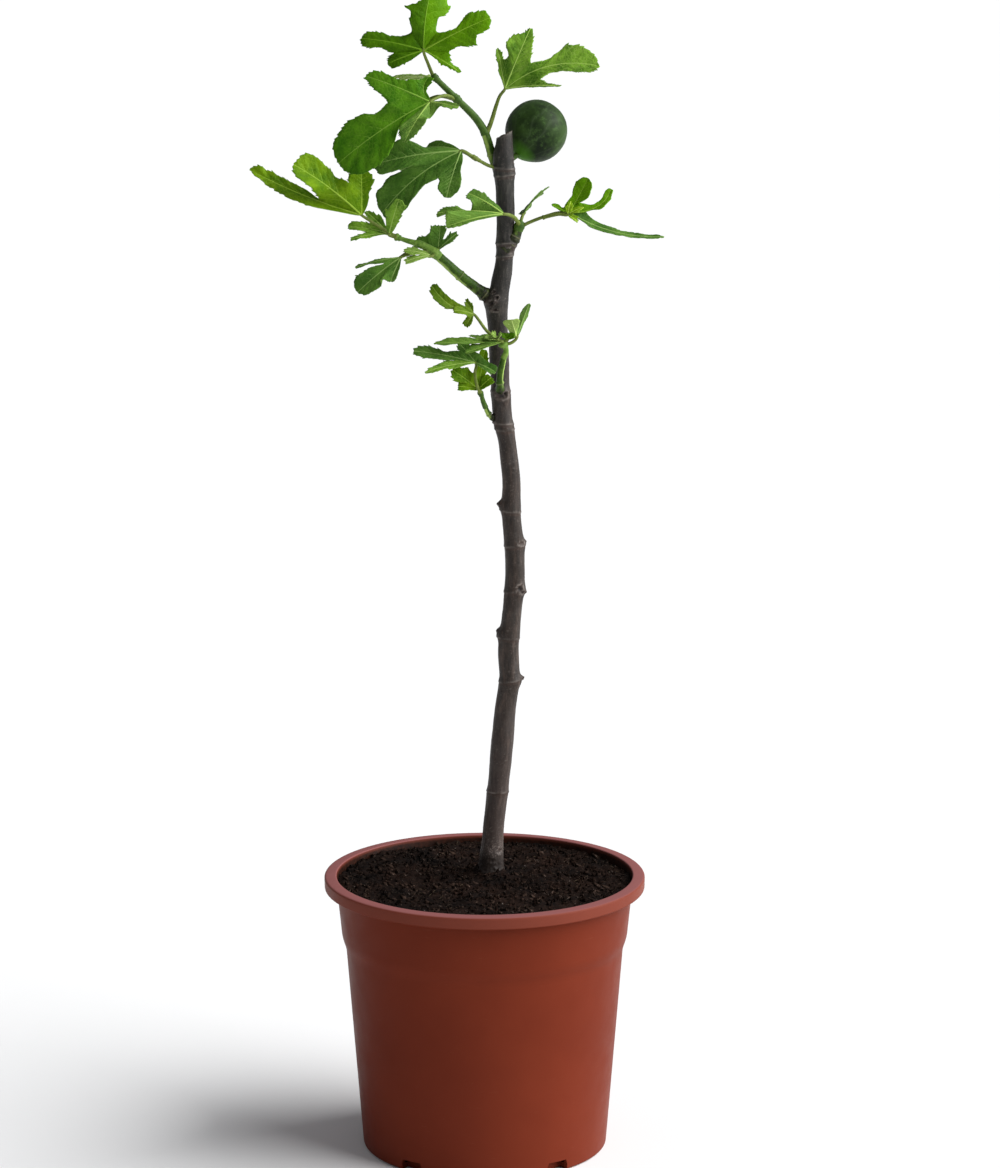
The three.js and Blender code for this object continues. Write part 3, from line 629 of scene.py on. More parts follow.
def stem_surface(height, bearing):
    """The bark at a height and bearing: its radius, and how pale, brown and hollow it is."""
    thickness = stem_thickness(height)
    radius = thickness / 2
    pale = 0.0
    brown = 0.0
    hollow = 0.0
    for joint_height, joint_bearing, swelling in STEM_JOINTS:
        near = bell((height - joint_height) / JOINT_HEIGHT)
        facing = (1 + math.cos(bearing - math.radians(joint_bearing))) / 2
        radius += swelling * near * (0.15 + 0.85 * facing**3)
    root = 1 + 0.35 * math.cos(3 * bearing + 0.6)
    radius += FLARE * root * math.exp(-(height - STEM_FOOT.z) / FLARE_HEIGHT)
    for ring_height, tilt, high_side in STEM_RINGS:
        lift = math.tan(math.radians(tilt)) * radius * math.cos(bearing - math.radians(high_side))
        off = height - ring_height - lift
        if abs(off) < 4:
            around = Vector((math.cos(bearing) * 1.8, math.sin(bearing) * 1.8, ring_height))
            break_up = 0.5 + 1.1 * noise.noise(around)
            radius += 0.28 * bell(off / 0.55) - 0.2 * bell((off + 1.3) / 0.7) + 0.22 * bell(off / 2.2)
            pale = max(pale, bell(off / 0.5) * max(0.0, break_up))
            brown = max(brown, 0.5 * bell((off + 1.5) / 0.9))
    for scar_height, scar_bearing, tall, wide, depth in STEM_SCARS:
        up = (height - scar_height) / tall
        if abs(up) < 2.4:
            across = angle_between(bearing, math.radians(scar_bearing)) * radius / wide
            uneven = noise.noise(Vector((up * 1.6, across * 1.6, scar_height)))
            away = math.hypot(up, across) * (1 + 0.5 * uneven)
            radius += depth * (0.35 * bell((away - 1.15) / 0.32) - bell(away / 0.75))
            brown = max(brown, 0.7 * bell(away / 1.1))
            hollow = max(hollow, bell(away / 0.62) * min(1.0, depth / 1.5) ** 2)
            lip = 0.95 * bell((away - 1.25) / 0.26) * clamped(0.5 + 2 * uneven)
            pale = max(pale * (1 - bell(away / 0.9)), lip)
    for stub_height, stub_bearing, reach, wide in STEM_STUBS:
        up = (height - stub_height) / wide
        if abs(up) < 2.4:
            across = angle_between(bearing, math.radians(stub_bearing)) * radius / wide
            away = math.hypot(up, across)
            ragged = noise.noise(Vector((up * 3, across * 3, stub_height)))
            radius += reach * bell(away / 0.9) * (1 + 0.45 * ragged)
            brown = max(brown, 0.45 * bell(away / 1.2))
    for pore_height, pore_bearing, size in pores_at.get(int(height // PORE_BIN), ()):
        up = (height - pore_height) / (size * 0.8)
        across = angle_between(bearing, pore_bearing) * radius / (size * 1.7)
        near = bell(math.hypot(up, across))
        radius += 0.16 * near
        pale = max(pale, 0.5 * near)
    around = Vector((math.cos(bearing), math.sin(bearing), 0)) * thickness / 2
    spot = Vector((around.x, around.y, height))
    lumps = noise.noise(Vector((spot.x / 9, spot.y / 9, height / 16)))
    ribs = noise.noise(Vector((spot.x / 2.1, spot.y / 2.1, height / 15)) + Vector((3, 1, 7)))
    grain = noise.noise(Vector((spot.x / 0.9, spot.y / 0.9, height / 4)))
    radius += 0.36 * lumps + 0.2 * ribs + 0.08 * grain
    near_foot = max(0.0, 1 - (height - STEM_FOOT.z) / FLAKY_HEIGHT)
    facing = 0.5 + 0.5 * math.cos(bearing - FLAKY_BEARING)
    flakes = 5 * noise.noise(spot / 0.8) + 2 * noise.noise(spot / 3.5) - 1.5 + 1.6 * facing**3
    pale = max(pale, near_foot**0.5 * clamped(flakes) * 0.8)
    radius += near_foot * 0.7 * noise.noise(spot / 1.6)
    brown = max(brown, 0.4 * near_foot)
    return radius, pale, brown, hollow


def bark_finish():
    """Grey-brown bark with a dull sheen, blacker near the top, with pale rings, brown scars, and a painted
    highlight up its right side under the cut.
    """
    coat = Coat("fig_bark", 0.5, 0.3)
    lengthwise = coat.stretched(1, 1, 0.22)
    grain = coat.speckle(260, 6, 0.7, lengthwise)
    brownish = ((0.3, (0.0084, 0.0054, 0.0038)), (0.52, (0.023, 0.015, 0.0105)), (0.72, (0.076, 0.05, 0.038)))
    blackish = ((0.3, (0.0053, 0.005, 0.004)), (0.52, (0.0133, 0.0126, 0.0103)), (0.75, (0.05, 0.047, 0.039)))
    height = add_node(coat.tree, "ShaderNodeSeparateXYZ", out="Z", Vector=coat.place)
    younger = coat.band(height, 0.5, 0.66)
    coat.colour = coat.mixed(younger, coat.ramp(grain, *brownish), coat.ramp(grain, *blackish))
    coat.cover(coat.band(coat.speckle(70, 4), 0.5, 0.72), (0.066, 0.056, 0.05), 0.25)
    coat.cover(coat.band(height, 0.34, 0.24, "LINEAR"), (0.076, 0.052, 0.046), 0.36)
    coat.cover(coat.band(coat.speckle(1100, 4, 0.75), 0.57, 0.68), (0.14, 0.108, 0.095), 0.6)
    coat.cover(coat.mark("brown"), (0.047, 0.025, 0.017))
    # The pale mark holds pale rings, scar lips, pores and flakes, and under the cut top a painted highlight
    # up the stem's right side.
    coat.cover(coat.mark("pale"), (0.2, 0.17, 0.15), 0.7)
    coat.cover(coat.mark("hollow"), (0.0028, 0.0022, 0.002))
    cracks = coat.band(coat.speckle(480, 5, 0.75, coat.stretched(1, 1, 0.5)), 0.42, 0.3)
    coat.cover(cracks, (0.004, 0.0035, 0.003), 0.6)
    soil = coat.band(height, (STEM_FOOT.z + 24) * MM, (STEM_FOOT.z + 8) * MM)
    coat.cover(soil, (0.009, 0.0055, 0.004), coat.band(coat.speckle(420, 5, 0.7), 0.62, 0.36))
    coat.cover(soil, (0.011, 0.0066, 0.0048), 0.8)
    low = coat.band(height, (STEM_FOOT.z + 40) * MM, (STEM_FOOT.z + 14) * MM)
    above_soil = coat.band(height, (STEM_FOOT.z + 10) * MM, (STEM_FOOT.z + 16) * MM)
    grit = coat.times(coat.band(coat.speckle(950, 3, 0.75), 0.55, 0.61), low)
    coat.cover(coat.times(grit, above_soil), (0.23, 0.18, 0.16), 0.6)
    coat.roughen(coat.speckle(500, 4, place=lengthwise), 0.42, 0.68)
    coat.emboss(coat.speckle(900, 6, 0.7, lengthwise), 0.0005, 0.6)
    return coat.done()


def cut_wood_finish():
    """The ragged, weathered end grain of the cut top. The pale edge of bark beside it is a painted highlight,
    made in the bark's finish.
    """
    coat = Coat("weathered_cut_wood", 0.8, 0.2)
    tones = ((0.35, (0.045, 0.035, 0.03)), (0.6, (0.16, 0.125, 0.105)), (0.8, (0.34, 0.3, 0.27)))
    coat.colour = coat.ramp(coat.speckle(900, 6, 0.7), *tones)
    coat.emboss(coat.speckle(1500, 4), 0.0006, 0.9)
    return coat.done()


stem_line = smooth_line([(right, back, height) for height, right, back, _ in STEM_LINE], STEM_STEPS)
top = stem_line[-1]
points = [stem_line[0]]
marks = [(0, 0, 0)]
for centre in stem_line:
    near_top = max(0.0, 1 - (top.z - centre.z) / CUT_REACH)
    for side in range(STEM_SIDES):
        bearing = 2 * math.pi * side / STEM_SIDES
        radius, pale, brown, hollow = stem_surface(centre.z, bearing)
        x = radius * math.cos(bearing)
        y = radius * math.sin(bearing)
        ragged = 0.9 * noise.noise(Vector((x / 1.7, y / 1.7, 3)))
        ragged += 0.5 * noise.noise(Vector((x / 0.7, y / 0.7, 5)))
        z = centre.z + near_top * (x * CUT_SLOPE + ragged * near_top**3)
        points.append(Vector((centre.x + x, centre.y + y, z)))
        # Painted highlight: under the cut top the bark is marked pale in a strip up its right side, and paler
        # towards the right, where the lamp lights it.
        edge = bell(angle_between(bearing, 0.1) / 0.35) * min(1.0, near_top * 1.5)
        pale = max(pale, edge, near_top**12 * (0.5 + 0.5 * math.cos(bearing)))
        marks.append((pale, brown, hollow))
# The end grain sinks a little inside the rim of bark and is rougher towards the middle.
rim_points = points[-STEM_SIDES:]
for share in CUT_SHARES:
    for rim in rim_points:
        spot = top.lerp(rim, share)
        spot.z = top.z + (rim.x - top.x) * share * CUT_SLOPE - 1.1 * (1 - share) ** 0.5
        spot.z += 0.8 * noise.noise(Vector((spot.x / 1.3, spot.y / 1.3, 1)))
        points.append(spot)
points.append(top - Vector((0, 0, CUT_SINK)))
marks += [(0, 0, 0)] * (len(points) - len(marks))
pale, brown, hollow = zip(*marks)
faces = closed_faces(len(stem_line) + len(CUT_SHARES), STEM_SIDES)
choices = ([0] * len(stem_line) + [1] * (len(CUT_SHARES) + 1)) * STEM_SIDES
finishes = [bark_finish(), cut_wood_finish()]
stem = make_piece("woody_stem", points, faces, finishes, choices, pale=pale, brown=brown, hollow=hollow)
settle(stem, "trunk")


# ---------------------------------------------------------------- shoots
# Five young shoots grow from the stem's joints. They are green and smooth, brown and woody at
# the root, with a thin ring at each old leaf and a collar of bark where they leave the stem. A pale
# yellow-green stripe runs along the lower left of four of them; on the front shoot it runs up the
# lit right side instead and is a painted highlight.

SHOOT_SIDES = 28
SHOOT_STEPS_PER_MM = 3.2
BELOW_LEFT = (-0.35, -0.75, -0.55)
# (name, start radius, end radius, woody share, rings, side of the pale stripe, which on the front
# shoot is a painted highlight, points)
SHOOTS = [
    (
        "top", 3.3, 2.9, 0.1, (0.5,), BELOW_LEFT,
        [(11, 10, 700), (6.6, 12.6, 710), (3.8, 13.4, 719), (1, 13.2, 728)],
    ),
    (
        "left", 4.1, 3.2, 0.34, (0.2, 0.62), (-0.62, -0.42, -0.66),
        [(8, 10, 610), (-0.8, 9, 617.4), (-15.5, 6, 629), (-26, 3, 638.8), (-31, 2, 643.4)],
    ),
    (
        "right", 5.6, 3.5, 1.05, (0.4, 0.75), BELOW_LEFT,
        [(14, 8.4, 648), (17.6, 8.2, 652.4), (20.8, 8.2, 656.6), (23.4, 8, 661.4)],
    ),
    (
        "front", 2.7, 2.2, 0.2, (0.36,), (0.96, -0.2, 0.1),
        [(11, 7, 548.4), (10.8, 1, 553.4), (11.2, -3, 563), (13.4, -5, 573.4)],
    ),
    (
        "low", 2.1, 1.6, 0.6, (0.6,), BELOW_LEFT,
        [(10, 11.4, 526.6), (6.2, 10, 529.2), (3, 8, 532.4), (0.9, 6.2, 537)],
    ),
]


def tube(line, radii, sides, bulge=0.6):
    """Points and faces of a closed round limb along a line, with a radius for each point."""
    tangents = [(q - p).normalized() for p, q in zip([line[0], *line], [*line[1:], line[-1]])]
    across = tangents[0].orthogonal().normalized()
    points = [line[0]]
    for k, (middle, tangent, radius) in enumerate(zip(line, tangents, radii)):
        if k:
            across = tangents[k - 1].rotation_difference(tangent) @ across
        other = tangent.cross(across)
        for side in range(sides):
            angle = 2 * math.pi * side / sides
            points.append(middle + (across * math.cos(angle) + other * math.sin(angle)) * radius)
    points.append(line[-1] + tangents[-1] * radii[-1] * bulge)
    return points, closed_faces(len(line), sides)


class Build:
    """Gathers the points, faces and finish of each face of one joined piece."""

    def __init__(self):
        self.points = []
        self.faces = []
        self.choices = []

    def add(self, points, faces, choice):
        first = len(self.points)
        self.points += points
        self.faces += [tuple(first + k for k in face) for face in faces]
        self.choices += choice if isinstance(choice, list) else [choice] * len(faces)


def shoot_finish():
    """Green rind that turns to brown bark at the root, with fine lengthwise streaks."""
    coat = Coat("green_shoot_rind", 0.45, 0.16)
    streaks = coat.speckle(420, 4)
    coat.colour = coat.ramp(streaks, (0.3, (0.015, 0.046, 0.002)), (0.7, (0.048, 0.108, 0.005)))
    # A pale stripe: the shoot's own colour along the lower left of most shoots, and a painted highlight up
    # the lit right side of the front shoot.
    coat.cover(coat.mark("sunny"), (0.27, 0.4, 0.08))
    browns = ((0.38, (0.008, 0.01, 0.004)), (0.56, (0.024, 0.028, 0.011)), (0.72, (0.06, 0.07, 0.026)))
    coat.cover(coat.mark("woody"), coat.ramp(streaks, *browns))
    coat.cover(coat.mark("pale"), (0.26, 0.25, 0.13), 0.4)
    coat.emboss(coat.speckle(1100, 4), 0.0003, 0.5)
    return coat.done()


rind = shoot_finish()
for name, start_radius, end_radius, woody_share, rings, sunny_side, controls in SHOOTS:
    length = sum((Vector(q) - Vector(p)).length for p, q in zip(controls, controls[1:]))
    steps = int(SHOOT_STEPS_PER_MM * length)
    line = smooth_line(controls, steps)
    radii = []
    for step in range(steps + 1):
        share = step / steps
        radius = start_radius + (end_radius - start_radius) * share
        radius += 0.8 * bell((share - woody_share * 0.6) / 0.08)
        for ring in rings:
            radius += 0.35 * bell((share - ring) * steps / 4) + 0.25 * bell((share - ring) * steps / 1.2)
        radii.append(radius)
    points, faces = tube(line, radii, SHOOT_SIDES)
    marks = []
    for k, point in enumerate(points):
        share = min(max((k - 1) // SHOOT_SIDES, 0), steps) / steps
        lump = noise.noise(point / 2.2) * 0.3 + noise.noise(point / 0.9) * 0.1
        centre = line[round(share * steps)]
        if 0 < k < len(points) - 1:
            point += (point - centre).normalized() * lump * (1.4 if share < woody_share else 0.5)
        wander = 0.3 * noise.noise(point / 3) + 0.12 * noise.noise(point / 1.1)
        woody = 1 - clamped((share + wander - woody_share) / 0.3 + 0.5)
        away = (point - centre).normalized() + Vector((0, 0, 0.2 * noise.noise(point / 5)))
        # The pale stripe's mask; on the front shoot it faces the lamp and is a painted highlight.
        sunny = clamped(7 * away.dot(Vector(sunny_side).normalized()) - 5) * clamped(share * 2.6 - 0.4)
        marks.append((woody, sunny, max(bell((share - ring) * steps / 1.1) for ring in rings)))
    woody, sunny, pale = zip(*marks)
    shoot = make_piece(name + "_shoot", points, faces, [rind], woody=woody, sunny=sunny, pale=pale)
    settle(shoot, "bough_" + name)


# ---------------------------------------------------------------- leaves
# Each leaf is one thin lobed blade, cut nearly to its middle and toothed round its ends. A pale
# vein runs up each lobe with side veins off it, and a round green stalk joins it to its shoot.

LEAF_THICKNESS = 0.5
LEAF_FOLD = 0.22
LEAF_ARCH = 0.24
CLEFT_SHARE = 0.45
WEB_ROWS = 10
FEWEST_ROWS = 14
MOST_ROWS = 72
ROW_SPACING = 1.05
HALF_COLUMNS = 6
SIDE_VEINS = 6
VEIN_SLANT = 0.8
TOOTH_SIZE = 1.15
TOOTH_SPANS = (2, 3, 3, 4, 5)
TOOTH_HEIGHTS = (0.3, 0.6, 0.8, 1.0, 1.3)
MAIN_VEIN = (0.76, 0.36)
SIDE_VEIN = (0.36, 0.26)
STALK_SIDES = 12
STALK_RADIUS = 1.3
STALK_TIP_RADIUS = 0.95
STALK_SINK = 3.0
SHOULDER = (0.2, 0.5)
UNDER_PALER = 0.3
SMALL_LEAF = 45.0
SEED_STEP = 17
LINE_STEPS = 14
LINE_SIDES = 18
STALK_STEPS = 7
STALK_RIND = 0
YOUNG_RIND = 1
LIGHT_RIND = 2
# A lobe's part inside its clefts ends at this share of the way to them, or of the whole lobe where
# it has none.
WEB_SHARE = 0.62
LONE_WEB_SHARE = 0.25
# The kinds of edge that a lobe has, as (share of its length, share of its half width).
EDGES = {
    "round": [(0.46, 0.62), (0.58, 0.9), (0.74, 1.0), (0.9, 0.78), (0.975, 0.42)],
    "blunt": [(0.5, 0.85), (0.72, 1.0), (0.88, 0.92), (0.97, 0.5)],
    "square": [(0.5, 0.72), (0.64, 0.86), (0.82, 1.0), (0.94, 0.88), (0.99, 0.45)],
    "oval": [(0.42, 0.74), (0.6, 0.97), (0.76, 0.97), (0.9, 0.66), (0.975, 0.32)],
    "taper": [(0.4, 0.9), (0.56, 1.0), (0.76, 0.7), (0.92, 0.34)],
    "thin": [(0.4, 1.0), (0.7, 0.9), (0.92, 0.7)],
    "flared": [(0.5, 0.34), (0.62, 0.66), (0.74, 1.0), (0.86, 0.93), (0.95, 0.7)],
    "horned": [(0.44, 0.7), (0.6, 0.92), (0.69, 1.0), (0.73, 0.7), (0.86, 0.56), (0.95, 0.36)],
    "stepped": [(0.4, 0.55), (0.51, 0.6), (0.55, 0.87), (0.66, 1.0), (0.78, 0.78), (0.92, 0.5)],
    "barbed": [(0.4, 0.7), (0.52, 0.68), (0.585, 1.0), (0.63, 0.68), (0.7, 0.38), (0.88, 0.28)],
    "hunched": [(0.36, 0.85), (0.5, 1.0), (0.64, 0.98), (0.77, 0.82), (0.87, 0.44), (0.94, 0.16)],
    "tail": [(0.25, 1.0), (0.45, 0.78), (0.65, 0.52), (0.9, 0.34)],
}
# The lobes of a leaf drawn by rule, as (degrees from its heading, share of its length, edges).
FAN = [
    (-100, 0.5, "blunt"), (-48, 0.82, "square horned"), (0, 1, "stepped square"),
    (48, 0.82, "horned square"), (100, 0.5, "blunt"),
]
FAN_HALF = 0.21
# Greens by name as (dark patch, light patch, vein, how strong the net of small veins is).
GREENS = {
    "bright": ((0.062, 0.172, 0.001), (0.1, 0.25, 0.002), (0.18, 0.33, 0.02), 0.16),
    "mottled": ((0.058, 0.145, 0.002), (0.135, 0.25, 0.004), (0.24, 0.38, 0.03), 0.34),
    "young": ((0.13, 0.25, 0.004), (0.24, 0.4, 0.01), (0.4, 0.55, 0.08), 0.2),
    "fresh": ((0.031, 0.116, 0.003), (0.078, 0.212, 0.007), (0.15, 0.29, 0.03), 0.26),
    "soft": ((0.06, 0.14, 0.019), (0.118, 0.23, 0.031), (0.24, 0.37, 0.07), 0.42),
    "dull": ((0.048, 0.13, 0.008), (0.17, 0.33, 0.028), (0.28, 0.43, 0.08), 0.46),
    "shaded": ((0.033, 0.102, 0.001), (0.066, 0.174, 0.002), (0.12, 0.25, 0.01), 0.14),
    "olive": ((0.05, 0.105, 0.004), (0.1, 0.17, 0.007), (0.16, 0.24, 0.03), 0.3),
    "deep": ((0.037, 0.103, 0.012), (0.084, 0.186, 0.024), (0.2, 0.32, 0.08), 0.24),
    "pale": ((0.14, 0.25, 0.035), (0.23, 0.37, 0.07), (0.4, 0.52, 0.16), 0.24),
}


def leaf_finish(name, low, high, net, net_strength):
    """Leaf skin: two close greens in soft patches, with a faint net of paler small veins."""
    coat = Coat(name, 0.52, 0.05)
    coat.colour = coat.ramp(coat.speckle(75, 5, 0.62), (0.37, low), (0.63, high))
    edges = {"feature": "DISTANCE_TO_EDGE"}
    cells = add_node(coat.tree, "ShaderNodeTexVoronoi", edges, "Distance", Vector=coat.place, Scale=380.0)
    lines = coat.band(cells, 0.1, 0.02, "LINEAR")
    clumps = coat.band(coat.speckle(45, 3), 0.35, 0.65)
    coat.cover(coat.times(lines, clumps), net, net_strength)
    coat.emboss(coat.band(cells, 0.0, 0.25), 0.0003, 0.4)
    coat.emboss(coat.speckle(1300, 3), 0.0001, 0.4)
    return coat.done()


def vein_finish(name, low, high):
    coat = Coat(name, 0.5, 0.15)
    coat.colour = coat.ramp(coat.speckle(300, 3), (0.3, low), (0.7, high))
    return coat.done()


leaf_finishes = {}
for tint, (low, high, vein, net_strength) in GREENS.items():
    under = [tuple(c + (v - c) * UNDER_PALER for c, v in zip(skin, vein)) for skin in (low, high)]
    leaf_finishes[tint] = (
        leaf_finish(f"leaf_upper_{tint}", low, high, vein, net_strength),
        leaf_finish(f"leaf_under_{tint}", *under, vein, net_strength),
        vein_finish(f"leaf_vein_{tint}", vein, tuple(min(1.0, c * 1.2) for c in vein)),
    )
rinds = [
    vein_finish("leaf_stalk_rind", (0.09, 0.13, 0.02), (0.16, 0.21, 0.04)),
    vein_finish("young_shoot_rind", (0.03, 0.075, 0.008), (0.065, 0.13, 0.016)),
    vein_finish("light_shoot_rind", (0.07, 0.16, 0.014), (0.19, 0.31, 0.055)),
]


class Lobe:
    """A lobe: its tip from the leaf's foot, its two half widths, its two edges, its sideways bow."""

    def __init__(self, facing, right, back, up, right_half, left_half, edges="round", bow=0.0):
        right_edge, _, left_edge = edges.partition(" ")
        self.halves = {-1: (right_half, EDGES[right_edge]), 1: (left_half, EDGES[left_edge or right_edge])}
        reach = Vector((right, back, up))
        self.along = reach.normalized()
        self.length = reach.length
        self.bow = bow
        self.side = facing.cross(self.along).normalized()
        self.normal = self.along.cross(self.side)


def leaf(foot, upper, stalk, tint, lobes, **settings):
    """A leaf: its foot, the way its upper side faces, its stalk's points, its green and its lobes."""
    lobes = [Lobe(Vector(upper).normalized(), *row) for row in lobes]
    return dict(foot=Vector(foot), stalk=stalk, tint=tint, lobes=lobes, **settings)


def fanned_leaf(foot, heading, upper, length, stalk, tint):
    """A leaf drawn by rule: five lobes fanned about its heading."""
    facing = Vector(upper).normalized()
    ahead = Vector(heading).normalized()
    lobes = []
    for degrees, share, edges in FAN:
        reach = Matrix.Rotation(math.radians(degrees), 3, facing) @ ahead * share * length
        half = share * length * FAN_HALF
        lobes.append((*reach, half, half, edges))
    return leaf(foot, upper, stalk, tint, lobes)


def tooth_heights(rows, source):
    """Uneven saw teeth along an edge: a height for each row, from 0 in a nick to about 1 at a tip."""
    heights = [0.0]
    while len(heights) <= rows:
        span = source.choice(TOOTH_SPANS)
        tall = source.choice(TOOTH_HEIGHTS)
        heights += [tall * (k / span) ** 1.4 for k in range(1, span + 1)]
        heights.append(0.0)
    return heights


def blade(form, seed):
    """The blade of one leaf as a sheet: its points, its faces by half lobe, and its veins."""
    source = random.Random(seed)
    foot = form["foot"]
    lobes = form["lobes"]
    fold = form.get("fold", LEAF_FOLD)
    arch = form.get("arch", LEAF_ARCH)
    tooth_size = form.get("teeth", TOOTH_SIZE)
    points = [foot]
    halves = []
    veins = []

    def add(place):
        points.append(place)
        return len(points) - 1

    def on_lobe(each, share, across):
        off = abs(across) * fold + arch * share * (1 - share) * each.length
        across += each.bow * 4 * share * (1 - share)
        return foot + each.along * share * each.length + each.side * across + each.normal * off

    def share_along(each, place):
        return (place - foot).dot(each.along) / each.length

    def ripple(place):
        broad = noise.noise(place / 11 + Vector((seed, 0, 0)))
        return broad * 1.3 + noise.noise(place / 5 + Vector((0, seed, 0))) * 0.6

    # Neighbouring lobes share a seam from the leaf's foot out to the cleft between them. Clefts are
    # given as how deep they lie along the middle, or as a place from the foot.
    seams = []
    for number, (right, left) in enumerate(zip(lobes, lobes[1:])):
        middle = (right.along + left.along).normalized()
        spread = math.cos(right.along.angle(left.along) / 2)
        depth = CLEFT_SHARE * min(right.length, left.length) * spread
        given = form.get("clefts", {number: depth})[number]
        normal = (right.normal + left.normal).normalized()
        placed = isinstance(given, tuple)
        to_cleft = Vector(given) if placed else (middle + normal * (fold + arch) * 0.5) * given
        seam = [0]
        for row in range(1, WEB_ROWS + 1):
            share = row / WEB_ROWS
            place = foot + to_cleft * share
            place += normal * ripple(place) * share * 0.6
            seam.append(add(place))
        seams.append(seam)

    def edge_line(number, sign, rows, start):
        """The smooth edge of a half lobe, from its cleft or the leaf's foot out to its tip."""
        each = lobes[number]
        beside = number + sign
        half, outline = each.halves[sign]
        begun = share_along(each, start) + 0.05
        controls = [on_lobe(each, share, sign * width * half) for share, width in outline if share > begun]
        if 0 <= beside < len(lobes):
            other_half, other_outline = lobes[beside].halves[-sign]
            share, width = other_outline[0]
            before = on_lobe(lobes[beside], max(share, begun), -sign * width * other_half)
        else:
            share, width = SHOULDER
            before = on_lobe(each, share, -sign * width * half)
            controls.insert(0, on_lobe(each, share, sign * width * half))
        share, width = outline[-1]
        after = on_lobe(each, share, -sign * width * half)
        return smooth_line([start, *controls, on_lobe(each, 1, 0)], rows, before, after)

    for number, each in enumerate(lobes):
        lobe_rows = int(max(FEWEST_ROWS, min(MOST_ROWS, each.length / ROW_SPACING)))
        rows = WEB_ROWS + lobe_rows
        vein_gap = max(4, lobe_rows // SIDE_VEINS)
        slant = VEIN_SLANT * vein_gap
        own_seams = seams[max(0, number - 1) : number + 1]
        cleft_shares = [share_along(each, points[seam[-1]]) for seam in own_seams]
        web_share = WEB_SHARE * sum(cleft_shares) / len(cleft_shares) if cleft_shares else LONE_WEB_SHARE
        mids = [0]
        for row in range(1, rows + 1):
            if row <= WEB_ROWS:
                share = web_share * row / WEB_ROWS
            else:
                share = web_share + (1 - web_share) * (row - WEB_ROWS) / lobe_rows
            mids.append(add(on_lobe(each, share, 0)))
        for sign in (-1, 1):
            beside = number + sign
            seam = seams[min(number, beside)] if 0 <= beside < len(lobes) else [0]
            start_row = len(seam) - 1
            edge = edge_line(number, sign, rows - start_row, points[seam[-1]])
            teeth = tooth_heights(rows, source)
            lines = [[0]]
            for row in range(1, rows):
                middle = points[mids[row]]
                if row <= start_row:
                    border = seam[row]
                else:
                    place = edge[row - start_row].copy()
                    outward = (place - middle).normalized()
                    ahead = (place - edge[row - start_row - 1]).normalized()
                    share = share_along(each, place)
                    fade = clamped((share - 0.3) / 0.2) * min(1.0, (row - start_row) / 5)
                    tooth = teeth[row] * tooth_size * fade
                    wander = noise.noise(place / 6 + Vector((0, 0, seed))) * 1.2 * fade
                    place += outward * (tooth + wander) + ahead * tooth * 0.45
                    place += each.normal * ripple(place) * min(1.0, share * 1.6)
                    border = add(place)
                line = [mids[row]]
                rim = points[border]
                spread = min(1.0, (rim - middle).length / 8)
                for column in range(1, HALF_COLUMNS):
                    u = (column / HALF_COLUMNS) ** 0.92
                    sag = -0.17 * math.sin(math.pi * u) * fold * (rim - middle).length
                    past_vein = ((row - slant * column / HALF_COLUMNS) % vein_gap) / vein_gap
                    puff = 0.6 * math.sin(math.pi * past_vein) * math.sin(math.pi * min(1.0, u * 1.15))
                    line.append(add(middle.lerp(rim, u) + each.normal * (sag + puff * spread)))
                lines.append([*line, border])
            lines.append([mids[rows]])
            faces = []
            for below, above in zip(lines, lines[1:]):
                for k in range(max(len(below), len(above)) - 1):
                    ring = []
                    for line, place in ((below, k), (below, k + 1), (above, k + 1), (above, k)):
                        corner = line[min(place, len(line) - 1)]
                        if corner not in ring:
                            ring.append(corner)
                    if len(ring) > 2:
                        faces.append(tuple(ring if sign < 0 else reversed(ring)))
            halves.append(faces)
            for row in range(vein_gap, int(rows - 2 - slant), vein_gap):
                path = []
                for column in range(HALF_COLUMNS + 1):
                    place = row + slant * column / HALF_COLUMNS
                    low, high = lines[int(place)][column], lines[int(place) + 1][column]
                    path.append(points[low].lerp(points[high], place - int(place)))
                veins.append((path, SIDE_VEIN, 4, len(halves) - 1))
        veins.append(([points[k] for k in mids], MAIN_VEIN, 6, len(halves) - 1))
    return points, halves, veins


def thickened(points, faces, choices):
    """Gives a sheet its thickness: an upper skin, an under skin, and a wall along its edge."""
    normals = [Vector((0, 0, 0)) for _ in points]
    used = {}
    for face, choice in zip(faces, choices):
        a, b, c = (points[k] for k in face[:3])
        flat = (b - a).cross(c - a)
        for k in face:
            normals[k] += flat
        for start, end in zip(face, face[1:] + face[:1]):
            used[(start, end)] = choice
    lifted = []
    for way in (0.5, -0.5):
        lifted += [p + n.normalized() * LEAF_THICKNESS * way for p, n in zip(points, normals)]
    count = len(points)
    under_faces = [tuple(count + k for k in reversed(face)) for face in faces]
    walls = []
    wall_choices = []
    for (start, end), choice in used.items():
        if (end, start) not in used:
            walls.append((end, start, count + start, count + end))
            wall_choices.append(choice)
    under_choices = [choice + 1 for choice in choices + wall_choices]
    return lifted, faces + under_faces + walls, choices + under_choices


